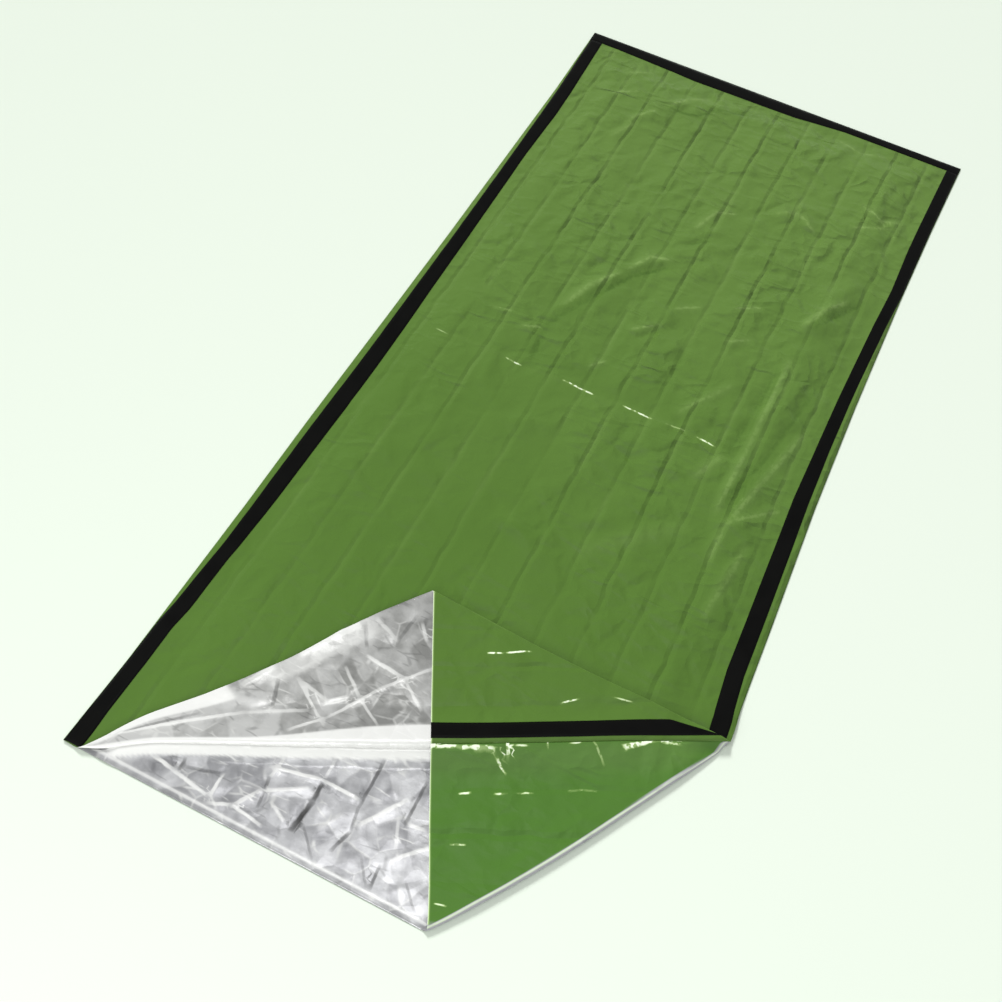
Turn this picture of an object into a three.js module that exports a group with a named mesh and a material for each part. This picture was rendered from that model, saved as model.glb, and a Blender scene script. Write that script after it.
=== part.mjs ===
// Emergency sleeping bag of thin two-faced film: green outside, metallised silver inside.
// It lies flat with the foot at +Y. At the mouth the right-hand corner is opened and squashed flat:
// the upper panel is turned back over itself in a soft roll, and the corner lies on top as a green flap.
// Millimetres, +Z up, origin under the middle of the bag, underside on Z = 0.
import * as THREE from "three";

// The bag as it is cut
const WIDTH = 910;
const LENGTH = 2010;
const SHEET = 1.2; // wall of both panels
const CLEAR = 0.4; // space between pieces that lie together
const SEAM_Z = 2.5; // middle of the upper panel above the floor at its seams
const LOFT = 12; // how far the air inside lifts the upper panel
const MOUTH_DIP = 0.36; // share of the loft that is lost along the first fold, where the mouth lies low
const DIP_LENGTH = 90;

// The opened corner
const PEEL = 468; // how far down the right-hand seam the mouth is opened
const SECOND_FOLD_R = 1.3;
const LAYER_STEP = 4.6; // turned-back layer above the upper panel, away from the roll
const SETTLE = 62; // length in which the turned-back layer comes down from the roll
const FLAP_REST = 6.4; // middle of the lower flap above the floor
const FLAP_DRAPE = 24; // length in which the lower flap comes down in front of the roll
const FOLD_BOW = 7; // outward bow of the near fold, between its ends
const CORNER_LIFT = 3.4; // the upper panel stands off the floor by this much more where its folds meet
const CORNER_SPAN = 105;
const CORNER_RISE = 16; // how far that corner is pulled towards the foot
const SEAM_PART = 13; // how far the flap's seam parts where the folds meet
const HEM_RISE = 6.5; // height of the soft lip along the lower panel's mouth edge
const HEM_LENGTH = 26;

// Seam tape, pressed on by hand: its wall, and its uneven width along the sides and across the foot
const TAPE_THICK = 0.9;
const TAPE_WIDTHS = [
  { y: 0, left: 29, right: 30 },
  { y: 300, left: 28, right: 30 },
  { y: 403, left: 25, right: 30 },
  { y: 560, left: 31, right: 30 },
  { y: 770, left: 34, right: 30 },
  { y: 985, left: 33, right: 29 },
  { y: 1110, left: 31, right: 25.5 },
  { y: 1300, left: 29, right: 24 },
  { y: 1550, left: 27, right: 24.5 },
  { y: 1700, left: 32, right: 28 },
  { y: 2010, left: 30, right: 26 },
];
const FOOT_WIDTHS = [
  { x: 0, wide: 30 },
  { x: 70, wide: 30 },
  { x: 175, wide: 34 },
  { x: 276, wide: 40 },
  { x: 523, wide: 37 },
  { x: 640, wide: 24 },
  { x: 910, wide: 24 },
];

// The soft roll along the first fold: share of the fold's length, radius, and the angle at which the
// side seam crosses the roll (0 under it, 90 in front, 180 on top)
const ROLL = [
  { share: 0.0, radius: 2.9, seam: 150 },
  { share: 0.12, radius: 5.0, seam: 150 },
  { share: 0.35, radius: 9.0, seam: 150 },
  { share: 0.55, radius: 11.0, seam: 150 },
  { share: 0.64, radius: 10.5, seam: 150 },
  { share: 0.82, radius: 7.5, seam: 148 },
  { share: 0.92, radius: 4.6, seam: 145 },
  { share: 1.0, radius: 3.2, seam: 125 },
];

// The turned-back layer: share of the fold's length, and the share of its own length that crumpling leaves
const TAKE_UP = [
  { share: 0.0, left: 0.72 },
  { share: 0.12, left: 0.71 },
  { share: 0.2, left: 0.755 },
  { share: 0.28, left: 0.82 },
  { share: 0.34, left: 0.87 },
  { share: 0.4, left: 0.94 },
  { share: 0.46, left: 0.962 },
  { share: 1.0, left: 0.967 },
];

// The near fold of the lower panel: share of its length from the mouth, and radius
const NEAR_FOLD = [
  { share: 0.0, radius: 3.2 },
  { share: 0.15, radius: 4.2 },
  { share: 0.8, radius: 4.0 },
  { share: 1.0, radius: 1.1 },
];

// How far the side edges lie off straight lines, along the bag
const SIDES = [
  { y: 0, left: -7, right: 0 },
  { y: 160, left: -1, right: 0 },
  { y: 500, left: 3, right: 1 },
  { y: 710, left: 3, right: -5 },
  { y: 980, left: 6, right: -15 },
  { y: 1240, left: 8, right: -19 },
  { y: 1560, left: 8, right: -19 },
  { y: 1780, left: 8, right: -16 },
  { y: 2010, left: 3, right: -10 },
];

// Green margin between each side edge and its tape
const MARGINS = [
  { y: 0, left: 1, right: 8 },
  { y: 160, left: 3, right: 8 },
  { y: 280, left: 5, right: 8 },
  { y: 430, left: 12, right: 8 },
  { y: 510, left: 12, right: 8 },
  { y: 600, left: 12, right: 14 },
  { y: 880, left: 14, right: 14 },
  { y: 1120, left: 12, right: 15 },
  { y: 1300, left: 11, right: 12 },
  { y: 1460, left: 10, right: 7 },
  { y: 1570, left: 9, right: 1 },
  { y: 1700, left: 7, right: 1 },
  { y: 1900, left: 3, right: 1 },
  { y: 2010, left: 1, right: 1 },
];

// Packing creases along the bag, in thirteenths of its width: height of each above the bays' mean
const PACK_CREASES = [
  { line: 0, rise: 0 },
  { line: 1, rise: 1.5 },
  { line: 2, rise: -1.1 },
  { line: 3, rise: 2.1 },
  { line: 4, rise: -1.5 },
  { line: 5, rise: 1.2 },
  { line: 6, rise: -2.0 },
  { line: 7, rise: 2.3 },
  { line: 8, rise: -1.2 },
  { line: 9, rise: 1.8 },
  { line: 10, rise: -2.2 },
  { line: 11, rise: 1.6 },
  { line: 12, rise: -0.9 },
  { line: 13, rise: 0 },
];

// Soft ridges (and troughs) of the upper panel, from one end to the other
const RIDGES = [
  { fromX: 60, fromY: 1010, toX: 860, toY: 1020, rise: -2.6, half: 34 },
  { fromX: 300, fromY: 1140, toX: 440, toY: 1420, rise: 4.0, half: 46 },
  { fromX: 750, fromY: 1350, toX: 850, toY: 1630, rise: 4.4, half: 44 },
  { fromX: 250, fromY: 1835, toX: 540, toY: 1958, rise: 3.6, half: 42 },
  { fromX: 640, fromY: 1060, toX: 870, toY: 1180, rise: 3.4, half: 40 },
  { fromX: 600, fromY: 880, toX: 860, toY: 800, rise: -2.4, half: 46 },
  { fromX: 90, fromY: 640, toX: 300, toY: 860, rise: 2.4, half: 52 },
];

// Crumpled ridges of the silver faces; the first ones lie on the turned-back layer
const SILVER_RIDGES = [
  { fromX: 210, fromY: 210, toX: 420, toY: 400, rise: 2.8, half: 22, turned: true },
  { fromX: 330, fromY: 260, toX: 350, toY: 470, rise: 2.4, half: 24, turned: true },
  { fromX: 120, fromY: 110, toX: 250, toY: 200, rise: 1.8, half: 22, turned: true },
  { fromX: 470, fromY: 215, toX: 480, toY: 60, rise: 2.6, half: 22, turned: false },
  { fromX: 390, fromY: 165, toX: 400, toY: 30, rise: 2.2, half: 20, turned: false },
  { fromX: 230, fromY: 80, toX: 560, toY: 110, rise: 2.4, half: 22, turned: false },
  { fromX: 540, fromY: 165, toX: 575, toY: 40, rise: 1.8, half: 18, turned: false },
];

// Rows of the cuts along the bag, where their surfaces bend
const MAIN_ROWS = [
  2010, 1982, 1968, 1955, 1900, 1840, 1770, 1690, 1620, 1550, 1480, 1410, 1340, 1270, 1200, 1130, 1060, 1016,
  972, 900, 830, 760, 690, 620,
];
const LOWER_ROWS = [390, 320, 260, 210, 170, 130, 95, 60, 26, 20, 14, 9, 4];
const ROLL_STEPS = [0, 25, 50, 75, 100, 125, 150, 180]; // degrees round the roll
const SETTLE_STEPS = [14, 30, 46, 64]; // lengths past the roll
const FLAP_SHARES = [0, 0.025, 0.05, 0.08, 0.115, 0.16, 0.22, 0.36, 0.55, 0.77, 1]; // closer at the corner
const SEAM_COLUMNS = [70, 50, 38, 28, 18, 8, 4, 0]; // distances from the right-hand seam
const TAPE_COLUMNS = [38, 28, 18, 8]; // those of them that the tape covers

// Where the squashed corner's folds run, worked out from the width and the length of seam opened
const TILT = Math.atan(PEEL / WIDTH);
const FOLD_LENGTH = WIDTH / Math.cos(TILT);
const APEX_X = WIDTH - PEEL * Math.tan(Math.PI / 4 - TILT / 2);
const FOLD_DIR = new THREE.Vector2(Math.cos(TILT), Math.sin(TILT));
const FOLD_SIDE = new THREE.Vector2(-Math.sin(TILT), Math.cos(TILT));
const NEAR_LENGTH = Math.hypot(WIDTH - APEX_X, PEEL);
const NEAR_DIR = new THREE.Vector2((WIDTH - APEX_X) / NEAR_LENGTH, PEEL / NEAR_LENGTH);
const NEAR_SIDE = new THREE.Vector2(NEAR_DIR.y, -NEAR_DIR.x); // points to the cut's near right corner

// Middle of the uneven outline, from the near left corner of the cut
const MIDDLE_X = WIDTH / 2 - 1.5;
const MIDDLE_Y = LENGTH / 2 - 1.25;

const clamp01 = (value) => Math.min(1, Math.max(0, value));
const ease = (value) => clamp01(value) ** 2 * (3 - 2 * clamp01(value));

/** Reads a column of a table at a place between two of its rows. */
function lookUp(table, key, column, at) {
  const last = table.length - 1;
  if (at <= table[0][key]) return table[0][column];
  if (at >= table[last][key]) return table[last][column];
  const i = table.findIndex((row) => row[key] > at) - 1;
  const share = (at - table[i][key]) / (table[i + 1][key] - table[i][key]);
  return table[i][column] + (table[i + 1][column] - table[i][column]) * share;
}

/** Distance along the first fold from the near left corner, and off it towards the foot. */
function alongFold(x, y) {
  return { t: x * FOLD_DIR.x + y * FOLD_DIR.y, s: x * FOLD_SIDE.x + y * FOLD_SIDE.y };
}

function fromFold(t, s) {
  return { x: t * FOLD_DIR.x + s * FOLD_SIDE.x, y: t * FOLD_DIR.y + s * FOLD_SIDE.y };
}

/** Distance along the near fold from the mouth, and past it towards the corner that is folded over. */
function alongNear(x, y) {
  return {
    r: (x - APEX_X) * NEAR_DIR.x + y * NEAR_DIR.y,
    q: (x - APEX_X) * NEAR_SIDE.x + y * NEAR_SIDE.y,
  };
}

function fromNear(r, q) {
  return { x: APEX_X + r * NEAR_DIR.x + q * NEAR_SIDE.x, y: r * NEAR_DIR.y + q * NEAR_SIDE.y };
}

const rollRadius = (t) => lookUp(ROLL, "share", "radius", t / FOLD_LENGTH);
const seamAngle = (t) => (lookUp(ROLL, "share", "seam", t / FOLD_LENGTH) * Math.PI) / 180;
const nearRadius = (r) => lookUp(NEAR_FOLD, "share", "radius", r / NEAR_LENGTH);

/** Bends a flat sheet upwards by half a turn: arc of the given radius from q = start on. */
function bend(q, n, radius, start) {
  const turn = (q - start) / radius;
  if (turn <= 0) return { q, n, turn: 0 };
  if (turn >= Math.PI) return { q: start - (q - start - Math.PI * radius), n: 2 * radius - n, turn: Math.PI };
  return {
    q: start + (radius - n) * Math.sin(turn),
    n: radius - (radius - n) * Math.cos(turn),
    turn,
  };
}

/** Height of a soft ridge at a place: full along its line, nothing at half its width away. */
function ridgeHeight(ridge, x, y) {
  const dx = ridge.toX - ridge.fromX;
  const dy = ridge.toY - ridge.fromY;
  const share = clamp01(((x - ridge.fromX) * dx + (y - ridge.fromY) * dy) / (dx * dx + dy * dy));
  const off = Math.hypot(x - ridge.fromX - share * dx, y - ridge.fromY - share * dy);
  return ridge.rise * ease(1 - off / ridge.half);
}

/** Middle of the upper panel above the floor where it lies single. */
function panelHeight(x, y) {
  const { t, s } = alongFold(x, y);
  const inside = Math.min(x, WIDTH - x, LENGTH - y);
  const corner = Math.min(t, FOLD_LENGTH - t);
  const lifted = ease((inside - 40) / 90) * ease((corner - 30 + Math.max(s, 0)) / 180);
  const crease = lookUp(PACK_CREASES, "line", "rise", (x / WIDTH) * 13);
  let height = SEAM_Z + LOFT * lifted * (1 - 0.3 * ease(1 - s / 300) - MOUTH_DIP * ease(1 - s / DIP_LENGTH));
  height += crease * lifted * (0.45 + 0.55 * ease(s / 300));
  for (const ridge of RIDGES) height += ridgeHeight(ridge, x, y) * lifted;
  const fromCorner = Math.hypot(x - WIDTH, y - PEEL);
  return Math.max(height, SEAM_Z) + CORNER_LIFT * ease(1 - fromCorner / CORNER_SPAN);
}

/** Height that crumpling adds to the silver face at a place. */
function crumple(x, y, turned) {
  const { s } = alongFold(x, y);
  let height = 0;
  for (const ridge of SILVER_RIDGES) {
    if (ridge.turned === turned) height += ridgeHeight(ridge, x, y);
  }
  return height * ease((Math.abs(s) - 24) / 30);
}

/** Moves a place in plan to the bag's uneven outline, and from the cut's corner to the middle. */
function place(x, y, z) {
  const left = lookUp(SIDES, "y", "left", y) * (1 - x / WIDTH);
  const right = lookUp(SIDES, "y", "right", y) * (x / WIDTH);
  const { s } = alongFold(x, y);
  const rise = CORNER_RISE * ease((x - 480) / 430) * ease(1 - Math.abs(s) / 260);
  return new THREE.Vector3(x + left + right - MIDDLE_X, y + rise - MIDDLE_Y, z);
}

/** Upper panel: second fold, then the roll of the first fold, then laid on its own height. */
function foldUpper(x, y, n) {
  const near = alongNear(x, y);
  const second = bend(near.q, -n, SECOND_FOLD_R, (-Math.PI / 2) * SECOND_FOLD_R);
  const flat = fromNear(near.r, second.q);
  const { t, s } = alongFold(flat.x, flat.y);
  const radius = rollRadius(t);
  const seam = seamAngle(t);
  const rolled = bend(-s, -second.n, radius, -radius * seam);
  const slack = radius * seam;
  let across = -rolled.q - slack;
  let along = t;
  let height = rolled.n;
  if (rolled.turn === 0) {
    const drawn = slack * clamp01(1 - (s - slack) / 900);
    across = s - drawn;
    along = t - drawn * Math.tan(TILT) * ease((s - slack) / 60);
  }
  if (rolled.turn === Math.PI) {
    across *= lookUp(TAKE_UP, "share", "left", t / FOLD_LENGTH);
    height -= Math.max(0, 2 * radius - LAYER_STEP) * ease(across / SETTLE);
  }
  const plan = fromFold(along, across);
  if (rolled.turn === Math.PI) height += crumple(plan.x, plan.y, true);
  return place(plan.x, plan.y, panelHeight(plan.x, plan.y) + height);
}

/** Lower panel: flat on the floor, its near right corner folded up and over against the roll. */
function foldLower(x, y, n) {
  const near = alongNear(x, y);
  const radius = nearRadius(near.r);
  const folded = bend(near.q, n, radius, (-Math.PI / 2) * radius);
  const bow = FOLD_BOW * Math.sin(Math.PI * clamp01(near.r / NEAR_LENGTH)) * ease(1 + folded.q / 150);
  let plan = fromNear(near.r, folded.q + bow);
  let height = SHEET / 2 + folded.n;
  if (folded.turn === 0) {
    height += crumple(plan.x, plan.y, false) * ease(-near.q / 40) * ease(y / 40);
  }
  const lip = ease(y / HEM_LENGTH) * (1 - ease((y - 9) / (HEM_LENGTH - 9)));
  if (folded.turn < Math.PI / 2) height += HEM_RISE * 1.6 * lip * ease((x - 70) / 80) * ease(-near.q / 25);
  if (folded.turn === Math.PI) {
    const { t, s } = alongFold(plan.x, plan.y);
    const roll = rollRadius(t);
    const seam = seamAngle(t);
    const outer = roll + 2 * SECOND_FOLD_R;
    const seamS = -outer * Math.sin(seam);
    const crest = fromFold(t, 0);
    const seamZ = panelHeight(crest.x, crest.y) + roll - outer * Math.cos(seam);
    const begun = ease((-folded.q - (Math.PI / 2) * radius) / 18);
    const joined = ease((FOLD_LENGTH - t - 25) / 75) * begun;
    const past = ease(1 + (folded.q + (Math.PI / 2) * radius) / 40);
    const middle = 3.4 + (FLAP_REST - 3.4) * joined;
    const rest = middle + (2 * radius + SHEET / 2 - middle) * past;
    const drape = joined * Math.exp(-((Math.min(s, 0) / FLAP_DRAPE) ** 2));
    const parted = (seamS - SEAM_PART * (1 - joined)) * begun;
    plan = fromFold(t, s + parted * ease(1 + s / 120));
    height += rest - 2 * radius - SHEET / 2 + (seamZ - rest) * drape;
  }
  return place(plan.x, plan.y, height);
}

/** A flat cut as triangles between columns of rows; rows that fall together in a column become one. */
function gridCut(columns, rowsOf, acrossAt) {
  const cut = { points: [], triangles: [] };
  const lines = columns.map((column) => {
    let last = null;
    return rowsOf(column).map((y) => {
      if (last === null || Math.abs(y - last) > 0.05) {
        cut.points.push({ x: acrossAt ? acrossAt(column, y) : column, y });
        last = y;
      }
      return cut.points.length - 1;
    });
  });
  for (let i = 0; i + 1 < lines.length; i += 1) {
    for (let j = 0; j + 1 < lines[i].length; j += 1) {
      const [a, b] = [lines[i][j], lines[i + 1][j]];
      const [c, d] = [lines[i + 1][j + 1], lines[i][j + 1]];
      if (c !== b) cut.triangles.push([a, c, b]);
      if (a !== d) cut.triangles.push([a, d, c]);
    }
  }
  return cut;
}

/** Closed body of a folded cut: its two faces and the wall round its edge. */
function foldedBody(cut, fold, low, high) {
  const used = [...new Set(cut.triangles.flat())];
  const index = new Map(used.map((corner, i) => [corner, i]));
  const positions = [];
  for (const n of [high, low]) {
    for (const corner of used) {
      const p = fold(cut.points[corner].x, cut.points[corner].y, n);
      positions.push(p.x, p.y, p.z);
    }
  }
  const count = used.length;
  const faces = [];
  const edges = new Map();
  for (const triangle of cut.triangles) {
    const [a, b, c] = triangle.map((corner) => index.get(corner));
    faces.push(a, b, c, a + count, c + count, b + count);
    for (const [from, to] of [[a, b], [b, c], [c, a]]) {
      if (edges.has(`${to}_${from}`)) edges.delete(`${to}_${from}`);
      else edges.set(`${from}_${to}`, [from, to]);
    }
  }
  for (const [from, to] of edges.values()) {
    faces.push(from, from + count, to + count, from, to + count, to);
  }
  const geometry = new THREE.BufferGeometry();
  geometry.setAttribute("position", new THREE.Float32BufferAttribute(positions, 3));
  geometry.setIndex(faces);
  geometry.computeVertexNormals();
  return geometry;
}

/** Row of the upper cut that lies at a given angle of the roll, and then on by some length. */
function rollRow(x, angle, further) {
  let y = (x * PEEL) / WIDTH;
  for (let step = 0; step < 8; step += 1) {
    const { t } = alongFold(x, y);
    const s = rollRadius(t) * (seamAngle(t) - angle) - further;
    y = (s - x * FOLD_SIDE.x) / FOLD_SIDE.y;
  }
  return y;
}

/** Row at a given distance past the near fold's line. */
const nearRow = (x, q) => (q - (x - APEX_X) * NEAR_SIDE.x) / NEAR_SIDE.y;

/** Evenly spaced rows between two places, with the first and without the last. */
function spread(from, to, count) {
  return Array.from({ length: count }, (_, i) => from + ((to - from) * i) / count);
}

/** Rows of the upper cut from foot to mouth: single panel, roll, turned-back layer, second fold, flap. */
function upperRows(x) {
  const low = spread(560, rollRow(x, 0, 0), 5);
  const roll = ROLL_STEPS.map((angle) => rollRow(x, (angle * Math.PI) / 180, 0));
  const settle = SETTLE_STEPS.map((further) => rollRow(x, Math.PI, further));
  const arc = (Math.PI / 2) * SECOND_FOLD_R;
  const fold = [-1, -0.5, 0, 0.5, 1].map((turn) => Math.max(0, nearRow(x, turn * arc)));
  const layer = spread(Math.max(fold[0], settle[3]), fold[0], 4);
  const flap = FLAP_SHARES.map((share) => fold[4] * (1 - share));
  const before = [...MAIN_ROWS, ...low, ...roll, ...settle, ...layer].map((y) => Math.max(y, fold[0]));
  return [...before, ...fold, ...flap];
}

/** Rows of the lower cut from foot to mouth: floor, silver triangle, lip, near fold, flap. */
function lowerRows(x) {
  const { r } = alongNear(x, (x * PEEL) / WIDTH);
  const arc = (Math.PI / 2) * nearRadius(r);
  const fold = [-1, -0.6, -0.2, 0.2, 0.6, 1].map((turn) => Math.max(0, nearRow(x, turn * arc)));
  const floor = [...SIDES.map((row) => row.y).filter((y) => y > 480).reverse(), ...LOWER_ROWS];
  const flap = FLAP_SHARES.map((share) => fold[5] * (1 - share));
  return [...floor.map((y) => Math.max(y, fold[0])), ...fold, ...flap];
}

function upperCut() {
  const columns = [0, 20, 41, 53, ...spread((2 * WIDTH) / 26, (24 * WIDTH) / 26, 22)];
  for (const away of SEAM_COLUMNS) columns.push(WIDTH - CLEAR / 2 - away);
  return gridCut(columns, upperRows);
}

function lowerCut() {
  const columns = spread(0, (24 * WIDTH) / 26, 20);
  for (const away of SEAM_COLUMNS) columns.push(WIDTH - CLEAR / 2 - away);
  return gridCut(columns, lowerRows);
}

function leftTapeCut() {
  const ends = [LENGTH - FOOT_WIDTHS[0].wide - CLEAR, 16];
  const rows = [ends[0], ...MARGINS.map((row) => row.y).filter((y) => y > 40 && y < 1900).reverse(), 90];
  return gridCut(
    [0, 1],
    (share) => [...rows, ends[1] + (share * TAPE_WIDTHS[0].left * PEEL) / WIDTH],
    (share, y) => lookUp(MARGINS, "y", "left", y) + share * lookUp(TAPE_WIDTHS, "y", "left", y),
  );
}

function rightTapeCut() {
  const end = LENGTH - FOOT_WIDTHS[FOOT_WIDTHS.length - 1].wide - CLEAR;
  const seam = WIDTH - CLEAR / 2;
  const [inner, outer] = [TAPE_COLUMNS[0], TAPE_COLUMNS[3]];
  const place = (share, y) => lookUp(MARGINS, "y", "right", y) + share * lookUp(TAPE_WIDTHS, "y", "right", y);
  return gridCut(
    TAPE_COLUMNS,
    (away) => upperRows(seam - away).map((y) => Math.min(y, end)),
    (away, y) => seam - place((away - outer) / (inner - outer), y),
  );
}

function footTapeCut() {
  const inner = FOOT_WIDTHS.map((row) => row.x).filter((x) => x > 0 && x < WIDTH);
  const columns = [CLEAR, ...inner, WIDTH - 2 * CLEAR];
  return gridCut(columns, (x) => [LENGTH - CLEAR, LENGTH - lookUp(FOOT_WIDTHS, "x", "wide", x)]);
}

const film = new THREE.MeshStandardMaterial({ color: "#5f823d", roughness: 0.32, metalness: 0.0 });
const underFilm = new THREE.MeshStandardMaterial({ color: "#6b8a48", roughness: 0.32, metalness: 0.0 });
const tape = new THREE.MeshStandardMaterial({ color: "#151413", roughness: 0.42, metalness: 0.0 });

const bag = new THREE.Group();
bag.name = "emergency_sleeping_bag";

function addBody(name, cut, fold, low, high, material) {
  const mesh = new THREE.Mesh(foldedBody(cut, fold, low, high), material);
  mesh.name = name;
  bag.add(mesh);
}

const tapeLow = SHEET / 2 + CLEAR;
const tapeHigh = tapeLow + TAPE_THICK;
addBody("lower_panel", lowerCut(), foldLower, -SHEET / 2, SHEET / 2, underFilm);
addBody("upper_panel", upperCut(), foldUpper, -SHEET / 2, SHEET / 2, film);
addBody("tape_left", leftTapeCut(), foldUpper, tapeLow, tapeHigh, tape);
addBody("tape_right", rightTapeCut(), foldUpper, tapeLow, tapeHigh, tape);
addBody("tape_foot", footTapeCut(), foldUpper, tapeLow, tapeHigh, tape);

export default bag;
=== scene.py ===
"""Emergency sleeping bag of thin two-faced film, lying flat with one mouth corner opened and folded back.

The film is green outside and metallised silver inside. Each panel is one flat cut, carried through its
folds by a function of two parameters, the place on the cut. Sizes are in millimetres until a mesh is made.
"""

import logging
import math
from collections.abc import Iterable
from dataclasses import dataclass, field
from enum import Enum
from typing import NamedTuple

import bpy
import numpy as np
from mathutils import Matrix, Vector


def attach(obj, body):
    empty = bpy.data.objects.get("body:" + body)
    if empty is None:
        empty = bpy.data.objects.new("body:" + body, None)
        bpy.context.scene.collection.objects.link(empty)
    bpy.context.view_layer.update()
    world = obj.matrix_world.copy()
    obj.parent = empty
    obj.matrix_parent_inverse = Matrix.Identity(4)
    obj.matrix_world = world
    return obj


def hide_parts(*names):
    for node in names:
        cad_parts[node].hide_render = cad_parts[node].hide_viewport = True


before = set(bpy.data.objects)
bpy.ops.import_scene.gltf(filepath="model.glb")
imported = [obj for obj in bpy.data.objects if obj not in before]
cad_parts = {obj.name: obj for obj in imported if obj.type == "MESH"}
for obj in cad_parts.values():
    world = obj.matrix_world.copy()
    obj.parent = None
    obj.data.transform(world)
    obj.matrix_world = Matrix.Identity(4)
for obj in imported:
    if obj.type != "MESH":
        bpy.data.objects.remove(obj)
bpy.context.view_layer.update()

Array = np.ndarray
Material = bpy.types.Material
Node = bpy.types.Node
Piece = bpy.types.Object
Socket = bpy.types.NodeSocket
Tree = bpy.types.NodeTree

LOG = logging.getLogger("sleeping_bag")
MM = 0.001
PER_METRE = 1000.0
# How far off a crease, in millimetres, its drawn line is followed
REACH = 15.0
# Settings that many nodes share: a smooth step, and a mix of two colours
STEP = {"interpolation_type": "SMOOTHSTEP"}
COLOUR = {"data_type": "RGBA"}


class Held(Enum):
    """How a sheet is kept in its shape."""

    FOLDED = "folded"
    LAID = "laid"


class Slot(Enum):
    """Material slots of the part's record."""

    FILM_UPPER = "film_upper"
    FILM_LOWER = "film_lower"
    TAPE = "tape_black"


class Edge(Enum):
    """Edges of the bag that are taped."""

    LEFT = "tape_left"
    RIGHT = "tape_right"
    FOOT = "tape_foot"


class Place(NamedTuple):
    """Place along a line, and a size there."""

    at: float
    size: float


class RollPlace(NamedTuple):
    """Place along the first fold: share of its length, radius, and angle at which the seam crosses it."""

    share: float
    radius: float
    seam: float


class SidePlace(NamedTuple):
    """Place along the bag, with a size at its left and right edges."""

    y: float
    left: float
    right: float


class Crease(NamedTuple):
    """A soft ridge or trough from one place to another.

    rise is its height, half its half width, and tone how far its line is painted light as a highlight, or
    painted dark as shade below zero.
    """

    from_x: float
    from_y: float
    to_x: float
    to_y: float
    rise: float
    half: float
    tone: float = 0.0


class Off(NamedTuple):
    """Where places lie off a crease: distance, share of its length, side, and run past its ends."""

    distance: Array
    share: Array
    side: Array
    beyond: Array


class Marks(NamedTuple):
    """What creases give a face: height, strength of a drawn line of painted highlight or shade, and signed
    distance from the nearest.
    """

    height: Array
    tone: Array
    line: Array


def tabled(kind: type, *rows: tuple[float, ...]) -> tuple:
    """Makes a table of rows of one kind."""
    return tuple(kind(*row) for row in rows)


# Radius of the roll of the first fold, and angle at which the seam crosses it, along the fold
ROLL = tabled(
    RollPlace,
    (0.0, 2.9, 150), (0.12, 5.0, 150), (0.35, 9.0, 150), (0.55, 11.0, 150), (0.64, 10.5, 150),
    (0.82, 7.5, 148), (0.92, 4.6, 145), (1.0, 3.2, 125),
)

# Share of the turned layer that crumpling leaves, along the first fold
TAKE_UP = tabled(
    Place,
    (0.0, 0.72), (0.12, 0.71), (0.2, 0.755), (0.28, 0.82), (0.34, 0.87), (0.4, 0.94), (0.46, 0.962),
    (1.0, 0.967),
)

# Radius of the near fold, along it from the mouth
NEAR_FOLD = tabled(
    Place,
    (0.0, 3.2), (0.15, 4.2), (0.8, 4.0), (1.0, 1.1),
)

# How far the side edges lie off straight lines, along the bag
SIDES = tabled(
    SidePlace,
    (0, -7, 0), (160, -1, 0), (500, 3, 1), (710, 3, -5), (980, 6, -15), (1240, 8, -19), (1560, 8, -19),
    (1780, 8, -16), (2010, 3, -10),
)

# Green margin between each side edge and its tape
MARGINS = tabled(
    SidePlace,
    (0, 0.6, 7), (160, 0.8, 7), (250, 1.5, 7), (290, 6, 7), (430, 12, 8), (510, 12, 8), (600, 12, 14),
    (880, 14, 14), (1120, 12, 15), (1300, 11, 12), (1460, 10, 7), (1570, 9, 1), (1700, 7, 1),
    (1900, 3, 1), (2010, 1, 1),
)

# Width of the tape along the two sides
TAPE_WIDTHS = tabled(
    SidePlace,
    (0, 29, 30), (300, 28, 30), (403, 25, 30), (560, 31, 30), (770, 34, 30), (985, 33, 29),
    (1110, 31, 25.5), (1300, 29, 24), (1550, 27, 24.5), (1700, 32, 28), (2010, 30, 26),
)

# Width of the tape across the foot
FOOT_WIDTHS = tabled(
    Place,
    (0, 30), (70, 30), (175, 34), (276, 40), (523, 37), (640, 24), (910, 24),
)

# Height of each packing crease above the bays' mean, from the left seam to the right one
PACK_RISES = (0, 1.5, -1.1, 2.1, -1.5, 1.2, -2.0, 2.3, -1.2, 1.8, -2.2, 1.6, -0.9, 0)

# Broad folds of the single panel, as in the solid
BROAD_FOLDS = tabled(
    Crease,
    (60, 1010, 860, 1020, -2.6, 34), (300, 1140, 440, 1420, 4.0, 46), (750, 1350, 850, 1630, 4.4, 44),
    (250, 1835, 540, 1958, 3.6, 42), (640, 1060, 870, 1180, 3.4, 40), (600, 880, 860, 800, -2.4, 46),
    (90, 640, 300, 860, 2.4, 52),
)
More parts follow.
